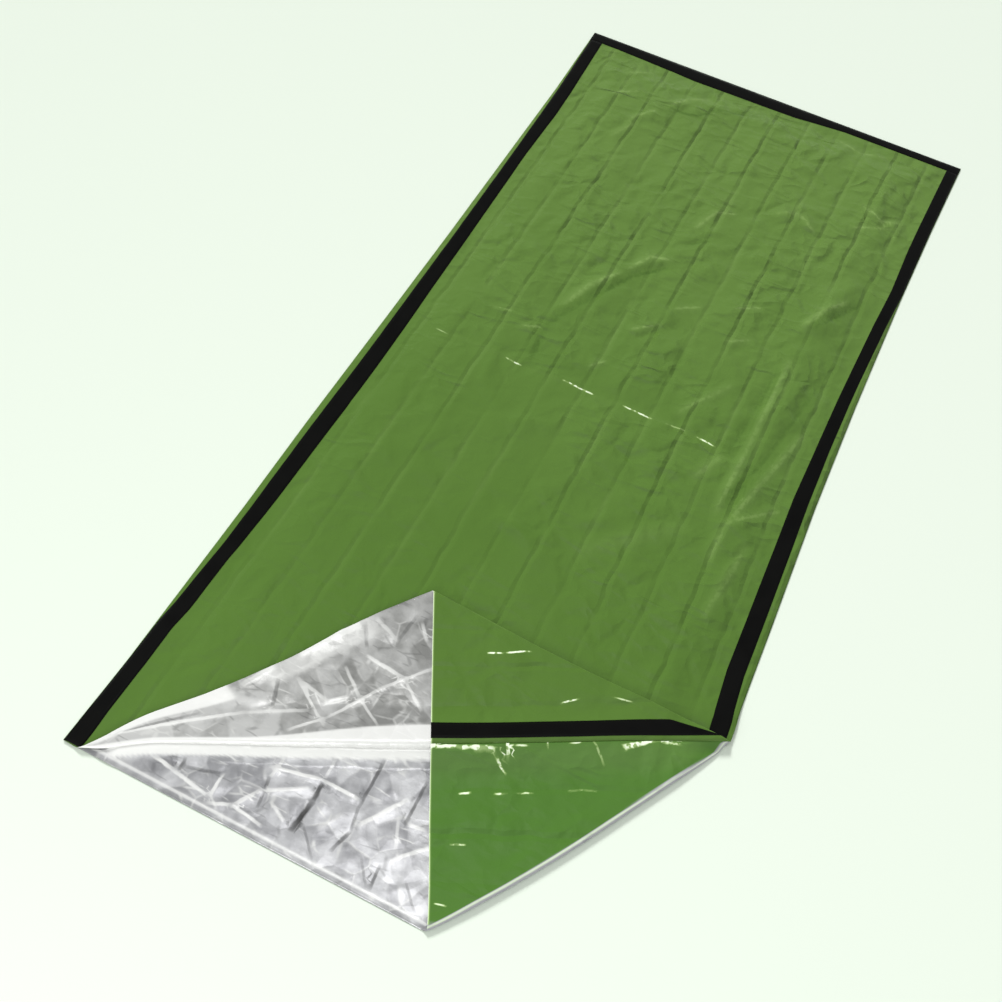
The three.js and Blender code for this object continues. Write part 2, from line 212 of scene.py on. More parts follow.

# Creases of the single panel: the middle fold mark with painted white glints, then wrinkles from foot to
# mouth with painted highlight and shade
PANEL_CREASES = tabled(
    Crease,
    (90, 1012, 700, 1017, 0.9, 9), (106, 1012, 126, 1010, 0.6, 6, 0.22),
    (258, 1014, 288, 1012, 1.2, 7, 0.6), (380, 1019, 442, 1016, 1.3, 7, 0.72),
    (508, 1017, 564, 1016, 1.2, 7, 0.68), (596, 1017, 630, 1019, 0.8, 7, 0.18),
    (658, 1018, 692, 1015, 1.2, 7, 0.6), (259, 1847, 286, 1878, 4.6, 18, 0.06),
    (286, 1878, 326, 1920, 3.8, 18, 0.042), (273, 1834, 328, 1847, -3.8, 18, -0.45),
    (328, 1847, 357, 1886, -3.6, 18, -0.36), (357, 1886, 449, 1921, -3.6, 20, -0.36),
    (127, 1816, 177, 1854, 3.4, 14, 0.054), (130, 1904, 177, 1940, 3.0, 13, 0.048),
    (194, 1752, 240, 1808, 3.6, 16, 0.054), (182, 1688, 210, 1742, 3.2, 17, 0.03),
    (640, 1948, 690, 1932, 2.7, 13, 0.06), (690, 1932, 754, 1950, 2.7, 13, 0.048),
    (748, 1684, 828, 1736, 3.1, 13, 0.048), (752, 1762, 804, 1741, 3.6, 13, 0.072),
    (804, 1741, 836, 1760, 3.1, 12, 0.06), (592, 1644, 640, 1662, 3.5, 16, 0.048),
    (640, 1662, 680, 1638, 3.1, 16, 0.06), (456, 1519, 477, 1579, 4.6, 18, 0.048),
    (477, 1579, 515, 1596, 3.8, 14, 0.078), (452, 1457, 495, 1500, -3.4, 20, -0.27),
    (750, 1367, 776, 1426, 4.4, 20, 0.036), (776, 1426, 812, 1479, 4.2, 18, 0.06),
    (773, 1376, 813, 1452, -3.6, 18, -0.36), (813, 1452, 838, 1494, -3.2, 16, -0.36),
    (610, 1346, 660, 1375, 3.2, 13, 0.054), (624, 1256, 666, 1285, 3.2, 13, 0.054),
    (300, 1184, 325, 1258, 4.8, 24, 0.036), (325, 1258, 364, 1314, 4.8, 22, 0.048),
    (377, 1339, 404, 1389, 4.4, 18, 0.06), (404, 1389, 443, 1400, 3.8, 16, 0.072),
    (300, 1030, 292, 1126, -4.0, 24, -0.18), (292, 1126, 343, 1236, -4.4, 26, -0.27),
    (343, 1236, 391, 1324, -5.0, 24, -0.45), (391, 1324, 445, 1384, -4.6, 20, -0.45),
    (446, 1194, 492, 1231, 3.5, 14, 0.06), (501, 1284, 549, 1317, 3.3, 13, 0.054),
    (246, 1094, 293, 1116, 3.2, 12, 0.06), (408, 1072, 432, 1098, 2.9, 13, 0.054),
    (606, 1052, 672, 1158, 3.5, 17, 0.03), (180, 1112, 214, 1117, 2.6, 10, 0.06),
    (284, 1058, 420, 1050, -3.1, 26), (756, 1272, 753, 1052, 4.2, 20, 0.03),
    (753, 1052, 746, 882, 4.0, 20, 0.036), (743, 1244, 732, 1095, -3.4, 18, -0.27),
    (732, 1095, 720, 1012, -3.2, 18, -0.27), (824, 1231, 796, 1061, -3.6, 20, -0.27),
    (796, 1061, 760, 907, -3.2, 18, -0.36), (838, 1123, 800, 969, 3.8, 18, 0.036),
    (800, 969, 778, 887, 3.8, 18, 0.048), (798, 680, 818, 834, 3.5, 20, 0.03),
    (768, 782, 770, 864, 3.2, 20, 0.03), (772, 866, 850, 944, 3.1, 14, 0.042),
    (686, 934, 716, 1000, 3.6, 22, 0.03), (560, 700, 700, 820, 2.3, 30), (420, 640, 560, 900, -2.3, 34),
)

# Creases of the turned-back corner, silver side up, with painted highlight and painted shade along their
# lines
TURNED_CREASES = tabled(
    Crease,
    (60, 40, 215, 162, 1.5, 9, 0.8), (215, 162, 300, 212, 1.5, 9, 0.6), (57, 36, 155, 128, -1.0, 7, -0.4),
    (256, 251, 318, 239, 1.6, 9, 0.6), (318, 239, 343, 261, 1.6, 8, 0.6),
    (314, 303, 360, 268, 1.6, 8, 0.6), (360, 268, 408, 239, 1.4, 7, 0.6),
    (292, 168, 332, 212, 1.6, 8, 0.7), (332, 212, 382, 298, 1.6, 8, 0.7),
    (382, 298, 436, 364, 1.5, 8, 0.7), (335, 336, 404, 330, 1.8, 10, 0.8),
    (404, 330, 456, 294, 1.6, 8, 0.6), (257, 251, 335, 200, 1.4, 7, 0.6),
    (231, 237, 248, 192, -2.0, 10, -0.6), (304, 385, 326, 350, -1.8, 9, -0.5),
    (316, 402, 364, 383, 1.8, 10, 0.5), (364, 383, 370, 437, -1.8, 9, -0.4),
    (384, 430, 406, 405, 1.8, 9, 0.6), (186, 196, 216, 250, 2.2, 16, 0.6),
    (240, 290, 296, 380, 2.2, 18, 0.7),
)

# Creases of the silver triangle inside the mouth: painted shade along the bag, painted highlight across it
MOUTH_CREASES = tabled(
    Crease,
    (378, 128, 381, 92, -2.4, 12, -0.9), (381, 92, 376, 38, -2.6, 15, -1.0),
    (443, 212, 446, 116, -1.8, 8, -0.7), (446, 116, 454, 78, -1.6, 8, -0.5),
    (454, 78, 444, 40, -2.2, 9, -0.7), (518, 198, 520, 122, -1.8, 8, -0.7),
    (304, 94, 314, 46, -1.8, 8, -0.6), (518, 52, 522, 14, -1.8, 8, -0.7),
    (177, 62, 179, 42, -1.6, 9, -0.7), (389, 53, 427, 14, -1.0, 6, -0.45),
    (489, 50, 516, 16, -1.0, 6, -0.4), (564, 49, 596, 16, -1.2, 6, -0.4),
    (120, 44, 170, 37, 2.0, 10, 0.9), (170, 37, 238, 26, 1.8, 9, 0.8), (241, 66, 243, 27, 1.6, 9, 0.8),
    (186, 50, 240, 66, -1.6, 9, -0.5), (298, 110, 378, 128, 1.9, 9, 0.8),
    (378, 128, 440, 126, 1.7, 9, 0.8), (279, 28, 304, 70, 1.7, 10, 0.7),
    (304, 70, 364, 106, 1.7, 10, 0.6), (460, 90, 506, 162, 1.9, 11, 0.8),
    (377, 178, 378, 136, 1.6, 7, 0.5), (308, 142, 305, 96, 1.6, 8, 0.6), (242, 14, 278, 31, 1.5, 9, 0.8),
    (278, 31, 334, 24, 1.5, 8, 0.8), (528, 66, 570, 110, 1.6, 10, 0.7), (552, 130, 520, 126, 1.5, 9, 0.7),
    (507, 130, 526, 86, 1.2, 8, 0.5), (330, 60, 360, 46, 1.4, 9, 0.6), (410, 60, 430, 96, 1.4, 12, 0.3),
)

# Creases of the green corner on top: short painted glints along the fold, and the sheen beside its folded
# edge
UPPER_FLAP_CREASES = tabled(
    Crease,
    (505, 433, 523, 443, 1.2, 7, 0.9), (532, 449, 560, 466, 1.2, 7, 1.0),
    (648, 407, 665, 422, 1.1, 7, 0.8), (722, 453, 744, 456, 1.1, 7, 0.45), (440, 400, 700, 440, 1.0, 26),
)

# Creases of the green corner below it: painted glints crumpled under the tape, painted glint dashes along
# the fold further out
LOWER_FLAP_CREASES = tabled(
    Crease,
    (502, 240, 511, 262, 1.2, 10, 0.8), (500, 236, 557, 264, 1.3, 15, 0.9),
    (557, 264, 590, 277, 1.4, 19, 1.0), (602, 302, 613, 280, 1.3, 12, 1.0),
    (600, 272, 616, 264, 1.0, 9, 0.8), (618, 297, 634, 305, 0.9, 8, 0.55),
    (656, 329, 663, 317, 0.9, 8, 0.5), (694, 339, 708, 347, 0.9, 9, 0.6),
    (721, 358, 747, 340, 0.9, 8, 0.22), (772, 368, 814, 398, 1.3, 16, 1.0),
    (814, 398, 850, 426, 1.2, 13, 0.9), (830, 401, 847, 409, 1.0, 9, 0.6),
    (571, 204, 584, 212, 0.9, 8, 0.7), (620, 228, 632, 234, 0.8, 8, 0.6),
    (648, 243, 668, 252, 0.8, 7, 0.45), (719, 281, 731, 288, 0.9, 8, 0.5),
    (738, 291, 752, 297, 0.9, 8, 0.6), (596, 128, 614, 137, 0.8, 7, 0.5), (616, 40, 630, 44, 0.8, 6, 0.5),
    (683, 127, 778, 298, 1.8, 34),
)


def linear(colour: str) -> tuple[float, float, float, float]:
    """Turns an sRGB hex colour into linear red, green, blue and alpha.

    Args:
        colour: Hex colour such as "#5f823d".

    Returns:
        Linear components, with alpha 1.
    """
    parts = np.array([int(colour[i : i + 2], 16) for i in (1, 3, 5)]) / 255
    values = np.where(parts <= 0.04045, parts / 12.92, ((parts + 0.055) / 1.055) ** 2.4)
    return (float(values[0]), float(values[1]), float(values[2]), 1.0)


def ease(value: Array) -> Array:
    """Smooth step from 0 at zero to 1 at one: 3v squared less 2v cubed."""
    held = np.clip(value, 0, 1)
    return held * held * (3 - 2 * held)


def read(table: tuple, column: str, at: Array) -> Array:
    """Reads a table's column at places between its rows, on straight lines.

    Args:
        table: Rows in rising order of their first column, the place.
        column: Column to read.
        at: Places.

    Returns:
        The column's values at the places.
    """
    return np.interp(at, [row[0] for row in table], [getattr(row, column) for row in table])


def off_line(crease: Crease, x: Array, y: Array) -> Off:
    """Finds where places lie off a crease's line.

    Args:
        crease: The crease.
        x: Places across.
        y: Places along.

    Returns:
        Distance to the nearest point of the line, that point's share of the line, the distance to one side
        of the line drawn on without end, and how far past its ends the places are.
    """
    dx, dy = crease.to_x - crease.from_x, crease.to_y - crease.from_y
    length = math.hypot(dx, dy)
    from_x, from_y = x - crease.from_x, y - crease.from_y
    along = (from_x * dx + from_y * dy) / length**2
    share = np.clip(along, 0, 1)
    distance = np.hypot(from_x - share * dx, from_y - share * dy)
    return Off(distance, share, (from_x * dy - from_y * dx) / length, np.abs(along - share) * length)


def bend(q: Array, n: Array, radius: Array, start: Array) -> tuple[Array, Array, Array]:
    """Bends a flat sheet upwards by half a turn, round an arc that begins at q = start.

    Args:
        q: Distance across the fold.
        n: Height off the sheet.
        radius: Radius of the sheet on the arc.
        start: Where the arc begins.

    Returns:
        Distance, height and angle turned. Past the arc the sheet runs back on itself, upside down.
    """
    turn = np.clip((q - start) / radius, 0, math.pi)
    flat, over = turn <= 0, turn >= math.pi
    arc_q = start + (radius - n) * np.sin(turn)
    arc_n = radius - (radius - n) * np.cos(turn)
    back_q = start - (q - start - math.pi * radius)
    bent_q = np.where(flat, q, np.where(over, back_q, arc_q))
    bent_n = np.where(flat, n, np.where(over, 2 * radius - n, arc_n))
    return bent_q, bent_n, turn


@dataclass(frozen=True)
class Relief:
    """Heights that creases give a face of the film, and tones: painted highlight and shade along their
    lines.
    """

    seed: int = 21
    bay: float = 70.0

    def summed(self, creases: Iterable[Crease], x: Array, y: Array) -> Marks:
        """Sums the heights of creases, and follows the nearest of those that show as a line.

        A height is the crease's rise times (1 - distance / half width) to the power 1.5, less at its ends.
        A line is as wide as its crease, and fades just past its ends.

        Args:
            creases: The creases.
            x: Places across the bag.
            y: Places along it.

        Returns:
            Their marks at the places.
        """
        height, tone = np.zeros_like(x), np.zeros_like(x)
        line, nearest = np.full_like(x, REACH), np.full_like(x, np.inf)
        for crease in creases:
            off = off_line(crease, x, y)
            ends = 0.35 + 0.65 * np.sqrt(np.sin(math.pi * np.clip(off.share, 0.02, 0.98)))
            height += crease.rise * ends * np.clip(1 - off.distance / crease.half, 0, 1) ** 1.5
            if crease.tone:
                closer = off.distance < nearest
                nearest = np.where(closer, off.distance, nearest)
                line = np.where(closer, np.clip(off.side * 8 / crease.half, -REACH, REACH), line)
                reach = ease(1 - off.beyond / 2.5) * ease((REACH - 4 - off.distance) / 5)
                tone = np.where(closer, crease.tone * ends * reach, tone)
        return Marks(height, tone, line)

    def scattered(
        self,
        count: int,
        box: tuple[float, float, float, float],
        size: tuple[float, float],
        rise: float,
        aim: float,
    ) -> list[Crease]:
        """Scatters short wrinkles over a region, from the seed.

        Args:
            count: How many.
            box: Least and greatest x and y of their middles.
            size: Least and greatest length.
            rise: Greatest height; about a third are troughs.
            aim: Mean angle off the bag's length, in degrees, to either side.

        Returns:
            The wrinkles.
        """
        rng = np.random.default_rng(self.seed + count)
        x = rng.uniform(box[0], box[2], count)
        y = rng.uniform(box[1], box[3], count)
        length = rng.uniform(size[0], size[1], count) / 2
        angle = np.radians(aim + rng.normal(0, 22, count)) * rng.choice([-1, 1], count)
        height = rng.uniform(0.45, 1, count) * rise * rng.choice([-0.8, 1, 1], count)
        half = rng.uniform(0.2, 0.34, count) * length * 2
        dx, dy = np.sin(angle) * length, np.cos(angle) * length
        rows = np.stack([x - dx, y - dy, x + dx, y + dy, height, np.maximum(half, 10)], 1)
        return [Crease(*row) for row in rows.tolist()]

    def packing(self, x: Array, y: Array) -> tuple[Array, Array]:
        """Sharp marks of the packing creases, along the bag every bay.

        A mark is up to 1 mm deep, falls off with distance over 4 mm, wavers a little from side to side, and
        is stronger in some stretches than in others, by two sine waves along it.

        Args:
            x: Places across the cut.
            y: Places along it.

        Returns:
            Depth, and the painted highlight along the crease, at the places.
        """
        rng = np.random.default_rng(self.seed)
        bays = len(PACK_RISES) - 1
        phase, period = rng.uniform(0, 6.3, bays + 1), rng.uniform(60, 150, bays + 1)
        line = np.clip(np.rint(x / self.bay).astype(int), 0, bays)
        waver = 1.6 * np.sin(y / (0.7 * period[line]) + 2 * phase[line])
        off = np.abs(x - line * self.bay - waver)
        waves = 0.4 * np.sin(y / period[line] + phase[line]) + 0.3 * np.sin(y / 37 + 3 * phase[line])
        held = np.clip(0.45 + waves, 0, 1)
        inner = (line > 0) & (line < bays)
        depth = np.where(inner, held * np.exp(-off / 4.0), 0)
        return depth, 0.025 * depth


@dataclass(frozen=True)
class SquashFold:
    """How the bag's two flat cuts lie folded, the near right corner of the mouth opened and squashed."""

    # The flat cut, the film of the solids, and the height of the seams
    width: float = 910
    length: float = 2010
    sheet: float = 1.2
    seam_z: float = 2.5
    # How high the air lifts the upper panel, and how much less beside the first fold
    loft: float = 12
    mouth_dip: float = 0.36
    dip_length: float = 90
    # Length of seam that is opened, and where the first fold starts off the corner
    peel: float = 468
    fold_start: float = 38
    start_span: float = 150
    # The second fold, and how the turned layer comes down on the panel
    second_radius: float = 1.3
    layer_step: float = 4.6
    settle: float = 62
    # The lower panel's corner: its rest, its rise to the roll, and the bow and end of its fold
    flap_rest: float = 6.4
    flap_drape: float = 32
    fold_bow: float = 13
    end_draw: float = 8
    # The film round the end of the opened seam
    corner_lift: float = 3.4
    corner_span: float = 105
    corner_rise: float = 16
    # The lip of the mouth, and the strip below the roll that is painted white as a highlight
    hem_length: float = 9
    mouth_lift: float = 3.8
    strip_width: float = 14
    # Where the turned-back corner's tip lies, and the middle of the part off the middle of the cut
    tip: tuple[float, float] = (365.0, 489.0)
    off_middle: tuple[float, float] = (1.5, 1.25)
    roll_steps: int = 8
    relief: Relief = Relief()

    @property
    def tilt(self) -> float:
        """Angle of the first fold off the mouth."""
        return math.atan(self.peel / self.width)

    @property
    def fold_length(self) -> float:
        """Length of the first fold, from the near left corner to where the seam is closed."""
        return self.width / math.cos(self.tilt)

    @property
    def apex(self) -> float:
        """Where the near fold leaves the mouth edge, across the bag."""
        return self.width - self.peel * math.tan(math.pi / 4 - self.tilt / 2)

    @property
    def near_length(self) -> float:
        """Length of the near fold."""
        return math.hypot(self.width - self.apex, self.peel)

    @property
    def near_way(self) -> tuple[float, float]:
        """Direction of the near fold, from the mouth to the closed seam."""
        return (self.width - self.apex) / self.near_length, self.peel / self.near_length

    def along_fold(self, x: Array, y: Array) -> tuple[Array, Array]:
        """Distance along the first fold from the near left corner, and off it towards the foot."""
        c, s = math.cos(self.tilt), math.sin(self.tilt)
        return x * c + y * s, y * c - x * s

    def from_fold(self, t: Array, s: Array) -> tuple[Array, Array]:
        """Place across and along the bag, from distances along and off the first fold."""
        c, k = math.cos(self.tilt), math.sin(self.tilt)
        return t * c - s * k, t * k + s * c

    def along_near(self, x: Array, y: Array) -> tuple[Array, Array]:
        """Distance along the near fold, and past it towards the corner that is folded over."""
        c, s = self.near_way
        return (x - self.apex) * c + y * s, (x - self.apex) * s - y * c

    def from_near(self, r: Array, q: Array) -> tuple[Array, Array]:
        """Place across and along the bag, from distances along and past the near fold."""
        c, s = self.near_way
        return self.apex + r * c + q * s, r * s - q * c

    def roll(self, t: Array) -> tuple[Array, Array]:
        """Radius of the soft roll along the first fold, and the angle at which the seam crosses it."""
        share = t / self.fold_length
        return read(ROLL, "radius", share), np.radians(read(ROLL, "seam", share))

    def drawn_in(self, x: Array, y: Array) -> Array:
        """How far right of the near left corner the first fold starts: full there, gone within a span."""
        return self.fold_start * ease(1 - np.hypot(x, y) / self.start_span)

    def inside(self, x: Array, y: Array) -> Array:
        """Distance from the nearest taped edge: left, right or foot."""
        return np.minimum(np.minimum(x, self.width - x), self.length - y)

    def ground(self, x: Array, y: Array) -> Array:
        """Height of the single upper panel above the floor.

        The seams' height, plus the air's loft away from them, plus packing creases, broad folds and
        wrinkles, all fading to nothing at the seams and at the ends of the first fold. The outermost margin
        comes down on the lower panel.

        Args:
            x: Places across the bag.
            y: Places along it.

        Returns:
            Heights.
        """
        t, s = self.along_fold(x, y)
        corner = np.minimum(t, self.fold_length - t)
        lifted = ease((self.inside(x, y) - 40) / 90) * ease((corner - 30 + np.maximum(s, 0)) / 180)
        away = 0.2 + 0.5 * ease((s - 60) / 800)
        bays = len(PACK_RISES) - 1
        crease = np.interp(x / self.width * bays, np.arange(bays + 1), PACK_RISES)
        low = 0.3 * ease(1 - s / 300) + self.mouth_dip * ease(1 - s / self.dip_length)
        height = self.seam_z + self.loft * lifted * (1 - low) + crease * lifted * away
        for fold in BROAD_FOLDS:
            height = height + fold.rise * ease(1 - off_line(fold, x, y).distance / fold.half) * lifted
        near = ease((self.inside(x, y) - 22) / 50) * ease((s - 10) / 60)
        fine = self.relief.summed(PANEL_CREASES, x, y).height - self.relief.packing(x, y)[0] * away
        fine = fine + self.relief.summed(self.wrinkles, x, y).height
        height = np.maximum(height + fine * near, self.seam_z)
        lift = self.corner_lift * ease(1 - np.hypot(x - self.width, y - self.peel) / self.corner_span)
        return height + lift + self.pucker(x, y)

    @property
    def wrinkles(self) -> list[Crease]:
        """Short wrinkles between the packing creases, most across the bag, more at the right and foot."""
        return (
            self.relief.scattered(90, (60, 620, 850, 1960), (40, 95), 5.0, 62)
            + self.relief.scattered(80, (480, 820, 860, 1950), (34, 80), 5.4, 50)
            + self.relief.scattered(34, (100, 1040, 500, 1960), (40, 90), 4.4, 35)
        )

    def pucker(self, x: Array, y: Array) -> Array:
        """Small waves that the tape gives the seams: two sine waves along the edge, less its pinch.

        Args:
            x: Places across the bag.
            y: Places along it.

        Returns:
            Heights, below zero in the outermost margin.
        """
        edge = 1 - ease((self.inside(x, y) - 20) / 50)
        s = self.along_fold(x, y)[1]
        wave = 0.5 + 0.3 * np.sin(y / 17.0 + x / 130) + 0.2 * np.sin(y / 7.3 + x / 41)
        far = ease((s - 40) / 120) * ease((self.inside(x, y) - 3) / 8)
        pinch = (self.seam_z - 1.1) * (1 - ease(self.inside(x, y) / 9)) * ease((s - 20) / 80)
        return 0.9 * wave * edge * far - pinch

    def place(self, x: Array, y: Array, z: Array) -> Array:
        """Moves places to the bag's uneven outline, and from the cut's corner to the middle.

        Args:
            x: Places across the bag.
            y: Places along it.
            z: Heights.

        Returns:
            Points in metres, one to a row.
        """
        across = x / self.width
        shift = read(SIDES, "left", y) * (1 - across) + read(SIDES, "right", y) * across
        rise = self.corner_rise * ease((x - 480) / 430) * ease(1 - np.abs(self.along_fold(x, y)[1]) / 260)
        middle_x, middle_y = self.width / 2 - self.off_middle[0], self.length / 2 - self.off_middle[1]
        return np.stack([x + shift - middle_x, y + rise - middle_y, z], -1) * MM

    def over_edge(self, x: Array, y: Array) -> Array:
        """Distance to the right of the opened corner's mouth edge, from its tip to the near fold.

        Args:
            x: Places across the bag.
            y: Places along it.

        Returns:
            Distances, below zero to the left.
        """
        tip_x, tip_y = self.tip
        way_x, way_y = self.apex - tip_x, -tip_y
        return ((x - tip_x) * -way_y + (y - tip_y) * way_x) / math.hypot(way_x, way_y)

    def upper(self, x: Array, y: Array, n: float = 0.0) -> tuple[Array, dict[str, Array]]:
        """Carries the upper cut through its second fold and the roll of the first, and lays it down.

        The cut is bent by half a turn round the second fold, then round the roll, whose radius changes
        along it. The slack that the roll takes up draws the panel to the mouth, less with distance. Past
        the roll the layer is shortened by its crumpling and comes down on the panel, and its height is the
        panel's plus its own step and creases.

        Args:
            x: Places across the cut.
            y: Places along it.
            n: Height off the cut's middle, towards its green face.

        Returns:
            Points in metres, and the film's marks there by attribute name.
        """
        drawn_in = self.drawn_in(x, y)
        near_r, near_q = self.along_near(x - drawn_in, y)
        radius2 = self.second_radius
        q, up, turn2 = bend(near_q, np.full_like(x, -n), radius2, -math.pi / 2 * radius2)
        t, s = self.along_fold(*self.from_near(near_r, q))
        radius, seam = self.roll(t)
        slack = radius * seam
        back, height, turn = bend(-s, -up, radius, -slack)
        over = turn >= math.pi
        pull = slack * ease((t + self.fold_start) / 90)
        drawn = pull * np.clip(1 - (s - slack) / 900, 0, 1)
        across = np.where(turn <= 0, s - drawn, -back - pull)
        along = np.where(turn <= 0, t - drawn * math.tan(self.tilt) * ease((s - slack) / 60), t)
        across = np.where(over, across * read(TAKE_UP, "size", t / self.fold_length), across)
        drop = np.maximum(0, 2 * radius - self.layer_step) * ease(across / self.settle)
        plan_x, plan_y = self.from_fold(along, across)
        plan_x = plan_x + drawn_in
        right = self.over_edge(plan_x, plan_y)
        silver = self.relief.summed(TURNED_CREASES, plan_x, plan_y)
        flap = self.relief.summed(UPPER_FLAP_CREASES, plan_x, plan_y)
        panel = self.relief.summed(PANEL_CREASES, x, y)
        crumpled = self.relief.summed(self.crumple, plan_x, plan_y).height
        left_part, right_part = 1 - ease((right + 20) / 30), ease((right - 4) / 30)
        ready = ease((across - 4) / 26)
        raised = ((silver.height + crumpled + 1.2) * left_part + flap.height * right_part) * ready
        height = np.where(over, height - drop + raised, height)
        top = turn2 >= math.pi
        # Painted highlight: the roll, and a strip of the turned layer just past it, are painted white
        strip = 1 - ease((across - 26 * ease((t - 250) / 300)) / 4)
        closed = ease((self.fold_length - t - 70) / 90)
        white = 0.9 * ease((turn - 1.0) / 0.4) * np.where(over, strip, 1) * (1 - top) * closed
        # Painted highlight along the packing creases and on ridges, painted shade in troughs
        pale = self.relief.packing(x, y)[1] * ease(s / 700)
        pale = pale + np.clip(np.where(panel.height > 0, 0.009, 0.06) * panel.height, -0.3, 0.05)
        # Painted highlight along the mouth edge of the green corner on top
        lip = 0.6 * top * ease(1.3 - y / 1.8)
        # Painted highlight along the turned layer's upper edge, and on a patch of it beside the roll
        turned_highlight = 0.95 * ease((0.13 * x - y) / 8 + 0.5) * (1 - ease((x - 258) / 14)) * ease((x - 20) / 40)
        turned_highlight = turned_highlight + 0.5 * ease((46 - y) / 16) * ease((x - 310) / 30) * (1 - ease((x - 500) / 24))
        turned_tone = np.where(top, flap.tone * right_part, silver.tone * (1 - strip))
        # Faint painted highlight along the second fold
        edge = 0.03 * (turn2 > 0.4) * (1 - top)
        marks = {
            "tone": np.where(over, turned_tone, panel.tone * (turn <= 0)),
            "line": np.where(over, np.where(top, flap.line, silver.line), panel.line),
            "band": np.where(turn > 0, np.maximum(white, turned_highlight * (over & ~top)), pale) + lip + edge,
        }
        return self.place(plan_x, plan_y, self.ground(plan_x, plan_y) + height), marks

    @property
    def crumple(self) -> list[Crease]:
        """Scattered crumpling of the turned-back silver corner."""
        return self.relief.scattered(70, (90, 60, 460, 470), (26, 70), 1.3, 60)

    @property
    def mouth_crumple(self) -> list[Crease]:
        """Scattered crumpling of the silver inside the mouth."""
        return self.relief.scattered(95, (60, 10, 610, 270), (22, 60), 1.2, 45)

    def lower(self, x: Array, y: Array) -> tuple[Array, dict[str, Array]]:
        """Carries the lower cut over the floor, round its near fold and up against the roll.

        The cut is bent by half a turn round the near fold, which bows out. Before the fold, its height is
        the floor's or, inside the mouth, the greater of its wrinkles and its rise to the roll. Past the
        fold it lies at rest, and rises to the roll's seam by a bell curve of its distance. Beside the
        opened seam its points are drawn to the upper panel's edge.

        Args:
            x: Places across the cut.
            y: Places along it.

        Returns:
            Points in metres, and the film's marks there by attribute name.
        """
        near_r, near_q = self.along_near(x, y)
        radius = read(NEAR_FOLD, "size", near_r / self.near_length)
        half_turn = math.pi / 2 * radius
        q, up, turn = bend(near_q, np.zeros_like(x), radius, -half_turn)
        share = np.clip(near_r / self.near_length, 0, 1)
        bow = self.fold_bow * np.sin(math.pi * share) ** 0.6 * ease(1 + q / 150)
        end = self.end_draw * ease(1 - np.hypot(x - self.width, y - self.peel) / 220)
        plan_x, plan_y = self.from_near(near_r, q + bow)
        plan_y = plan_y - end
        t, s = self.along_fold(plan_x - self.drawn_in(plan_x, plan_y), plan_y)
        height = self.sheet / 2 + up

        inner = self.relief.summed(MOUTH_CREASES, plan_x, plan_y)
        crumpled = self.relief.summed(self.mouth_crumple, plan_x, plan_y).height
        roll, seam = self.roll(t)
        crest = self.ground(*self.from_fold(t, np.zeros_like(t)))
        front = -s - roll - 0.6
        drawn = (crest + 1.2 * roll - 0.8) * np.where(front > 0, ease(1 - front / 36), ease(1 + front / 16))
        drawn = drawn * ease((t - 20) / 60) * ease((-near_q - 4) / 30)
        # Painted highlight: the strip of lower film drawn up below the roll is painted white
        strip = ease((front + 8) / 3) * (1 - ease((front - self.strip_width) / 4)) * ease((t - 30) / 40)
        open_part = ease((front - self.strip_width + 2) / 16) * ease(-near_q / 30)
        lip = ease(y / self.hem_length) * ease((front + 4) / 8) * ease((x - 8) / 30) * ease(-near_q / 25)
        rough = (inner.height + crumpled) * open_part * ease((y - 8) / 20)
        wrinkled = np.maximum(self.mouth_lift + rough, 0)
        flat_part = turn <= 0
        height = height + np.where(flat_part, np.maximum(wrinkled * lip, drawn), 0)

        outer = roll + 2 * self.second_radius
        seam_s, seam_z = -outer * np.sin(seam), crest + roll - outer * np.cos(seam)
        begun = ease((-q - half_turn) / 18)
        joined = ease((self.fold_length - t - 25) / 75) * begun
        past = ease(1 + (q + half_turn) / 40)
        middle = 3.4 + (self.flap_rest - 3.4) * joined
        rest = middle + (2 * radius + self.sheet / 2 - middle) * past
        drape = joined * np.exp(-((np.minimum(s, 0) / self.flap_drape) ** 2))
        flap_x, flap_y = self.from_fold(t, s + seam_s * begun * ease(1 + s / 120))
        flap = self.relief.summed(LOWER_FLAP_CREASES, flap_x, flap_y)
        raised = (seam_z - rest) * drape + flap.height * joined * ease((-s - 3) / 10)
        bent = rest - 2 * radius - self.sheet / 2 + raised
        over = turn >= math.pi
        plan_x = np.where(over, flap_x, plan_x)
        plan_y = np.where(over, flap_y, plan_y)
        height = np.where(over, height + bent, height)
        # Painted highlight along the corner's mouth edge, and painted light on its slope down from the seam
        flap_band = 0.6 * ease(1.3 - y / 1.8) + 0.12 * drape * (1 - drape)
        # Painted highlight along the lip's crest, and painted shade on its front edge
        crest_line = np.exp(-(((y - self.hem_length - 1) / 2.6) ** 2)) * (near_q < -8)
        edge_grey = 0.3 * (1 - ease((y - 5.5) / 2.5)) * (near_q < -4)
        mouth_band = np.maximum(strip, 0.8 * crest_line) - edge_grey
        marks = {
            "tone": np.where(over, flap.tone, inner.tone * open_part * ease((y - 6) / 20)),
            "line": np.where(over, flap.line, inner.line),
            "band": np.where(over, flap_band, mouth_band),
        }
        points = self.place(plan_x, plan_y, height)
        edge = self.upper(np.full_like(x, self.width - 0.2), y, -0.4)[0]
        near_seam = 34 - 26 * ease((y - self.peel + 110) / 90)
        held = ease(1 - (self.width - x) / near_seam) * (turn > 0) * (y < self.peel)
        return points + (edge - points) * held[..., None], marks

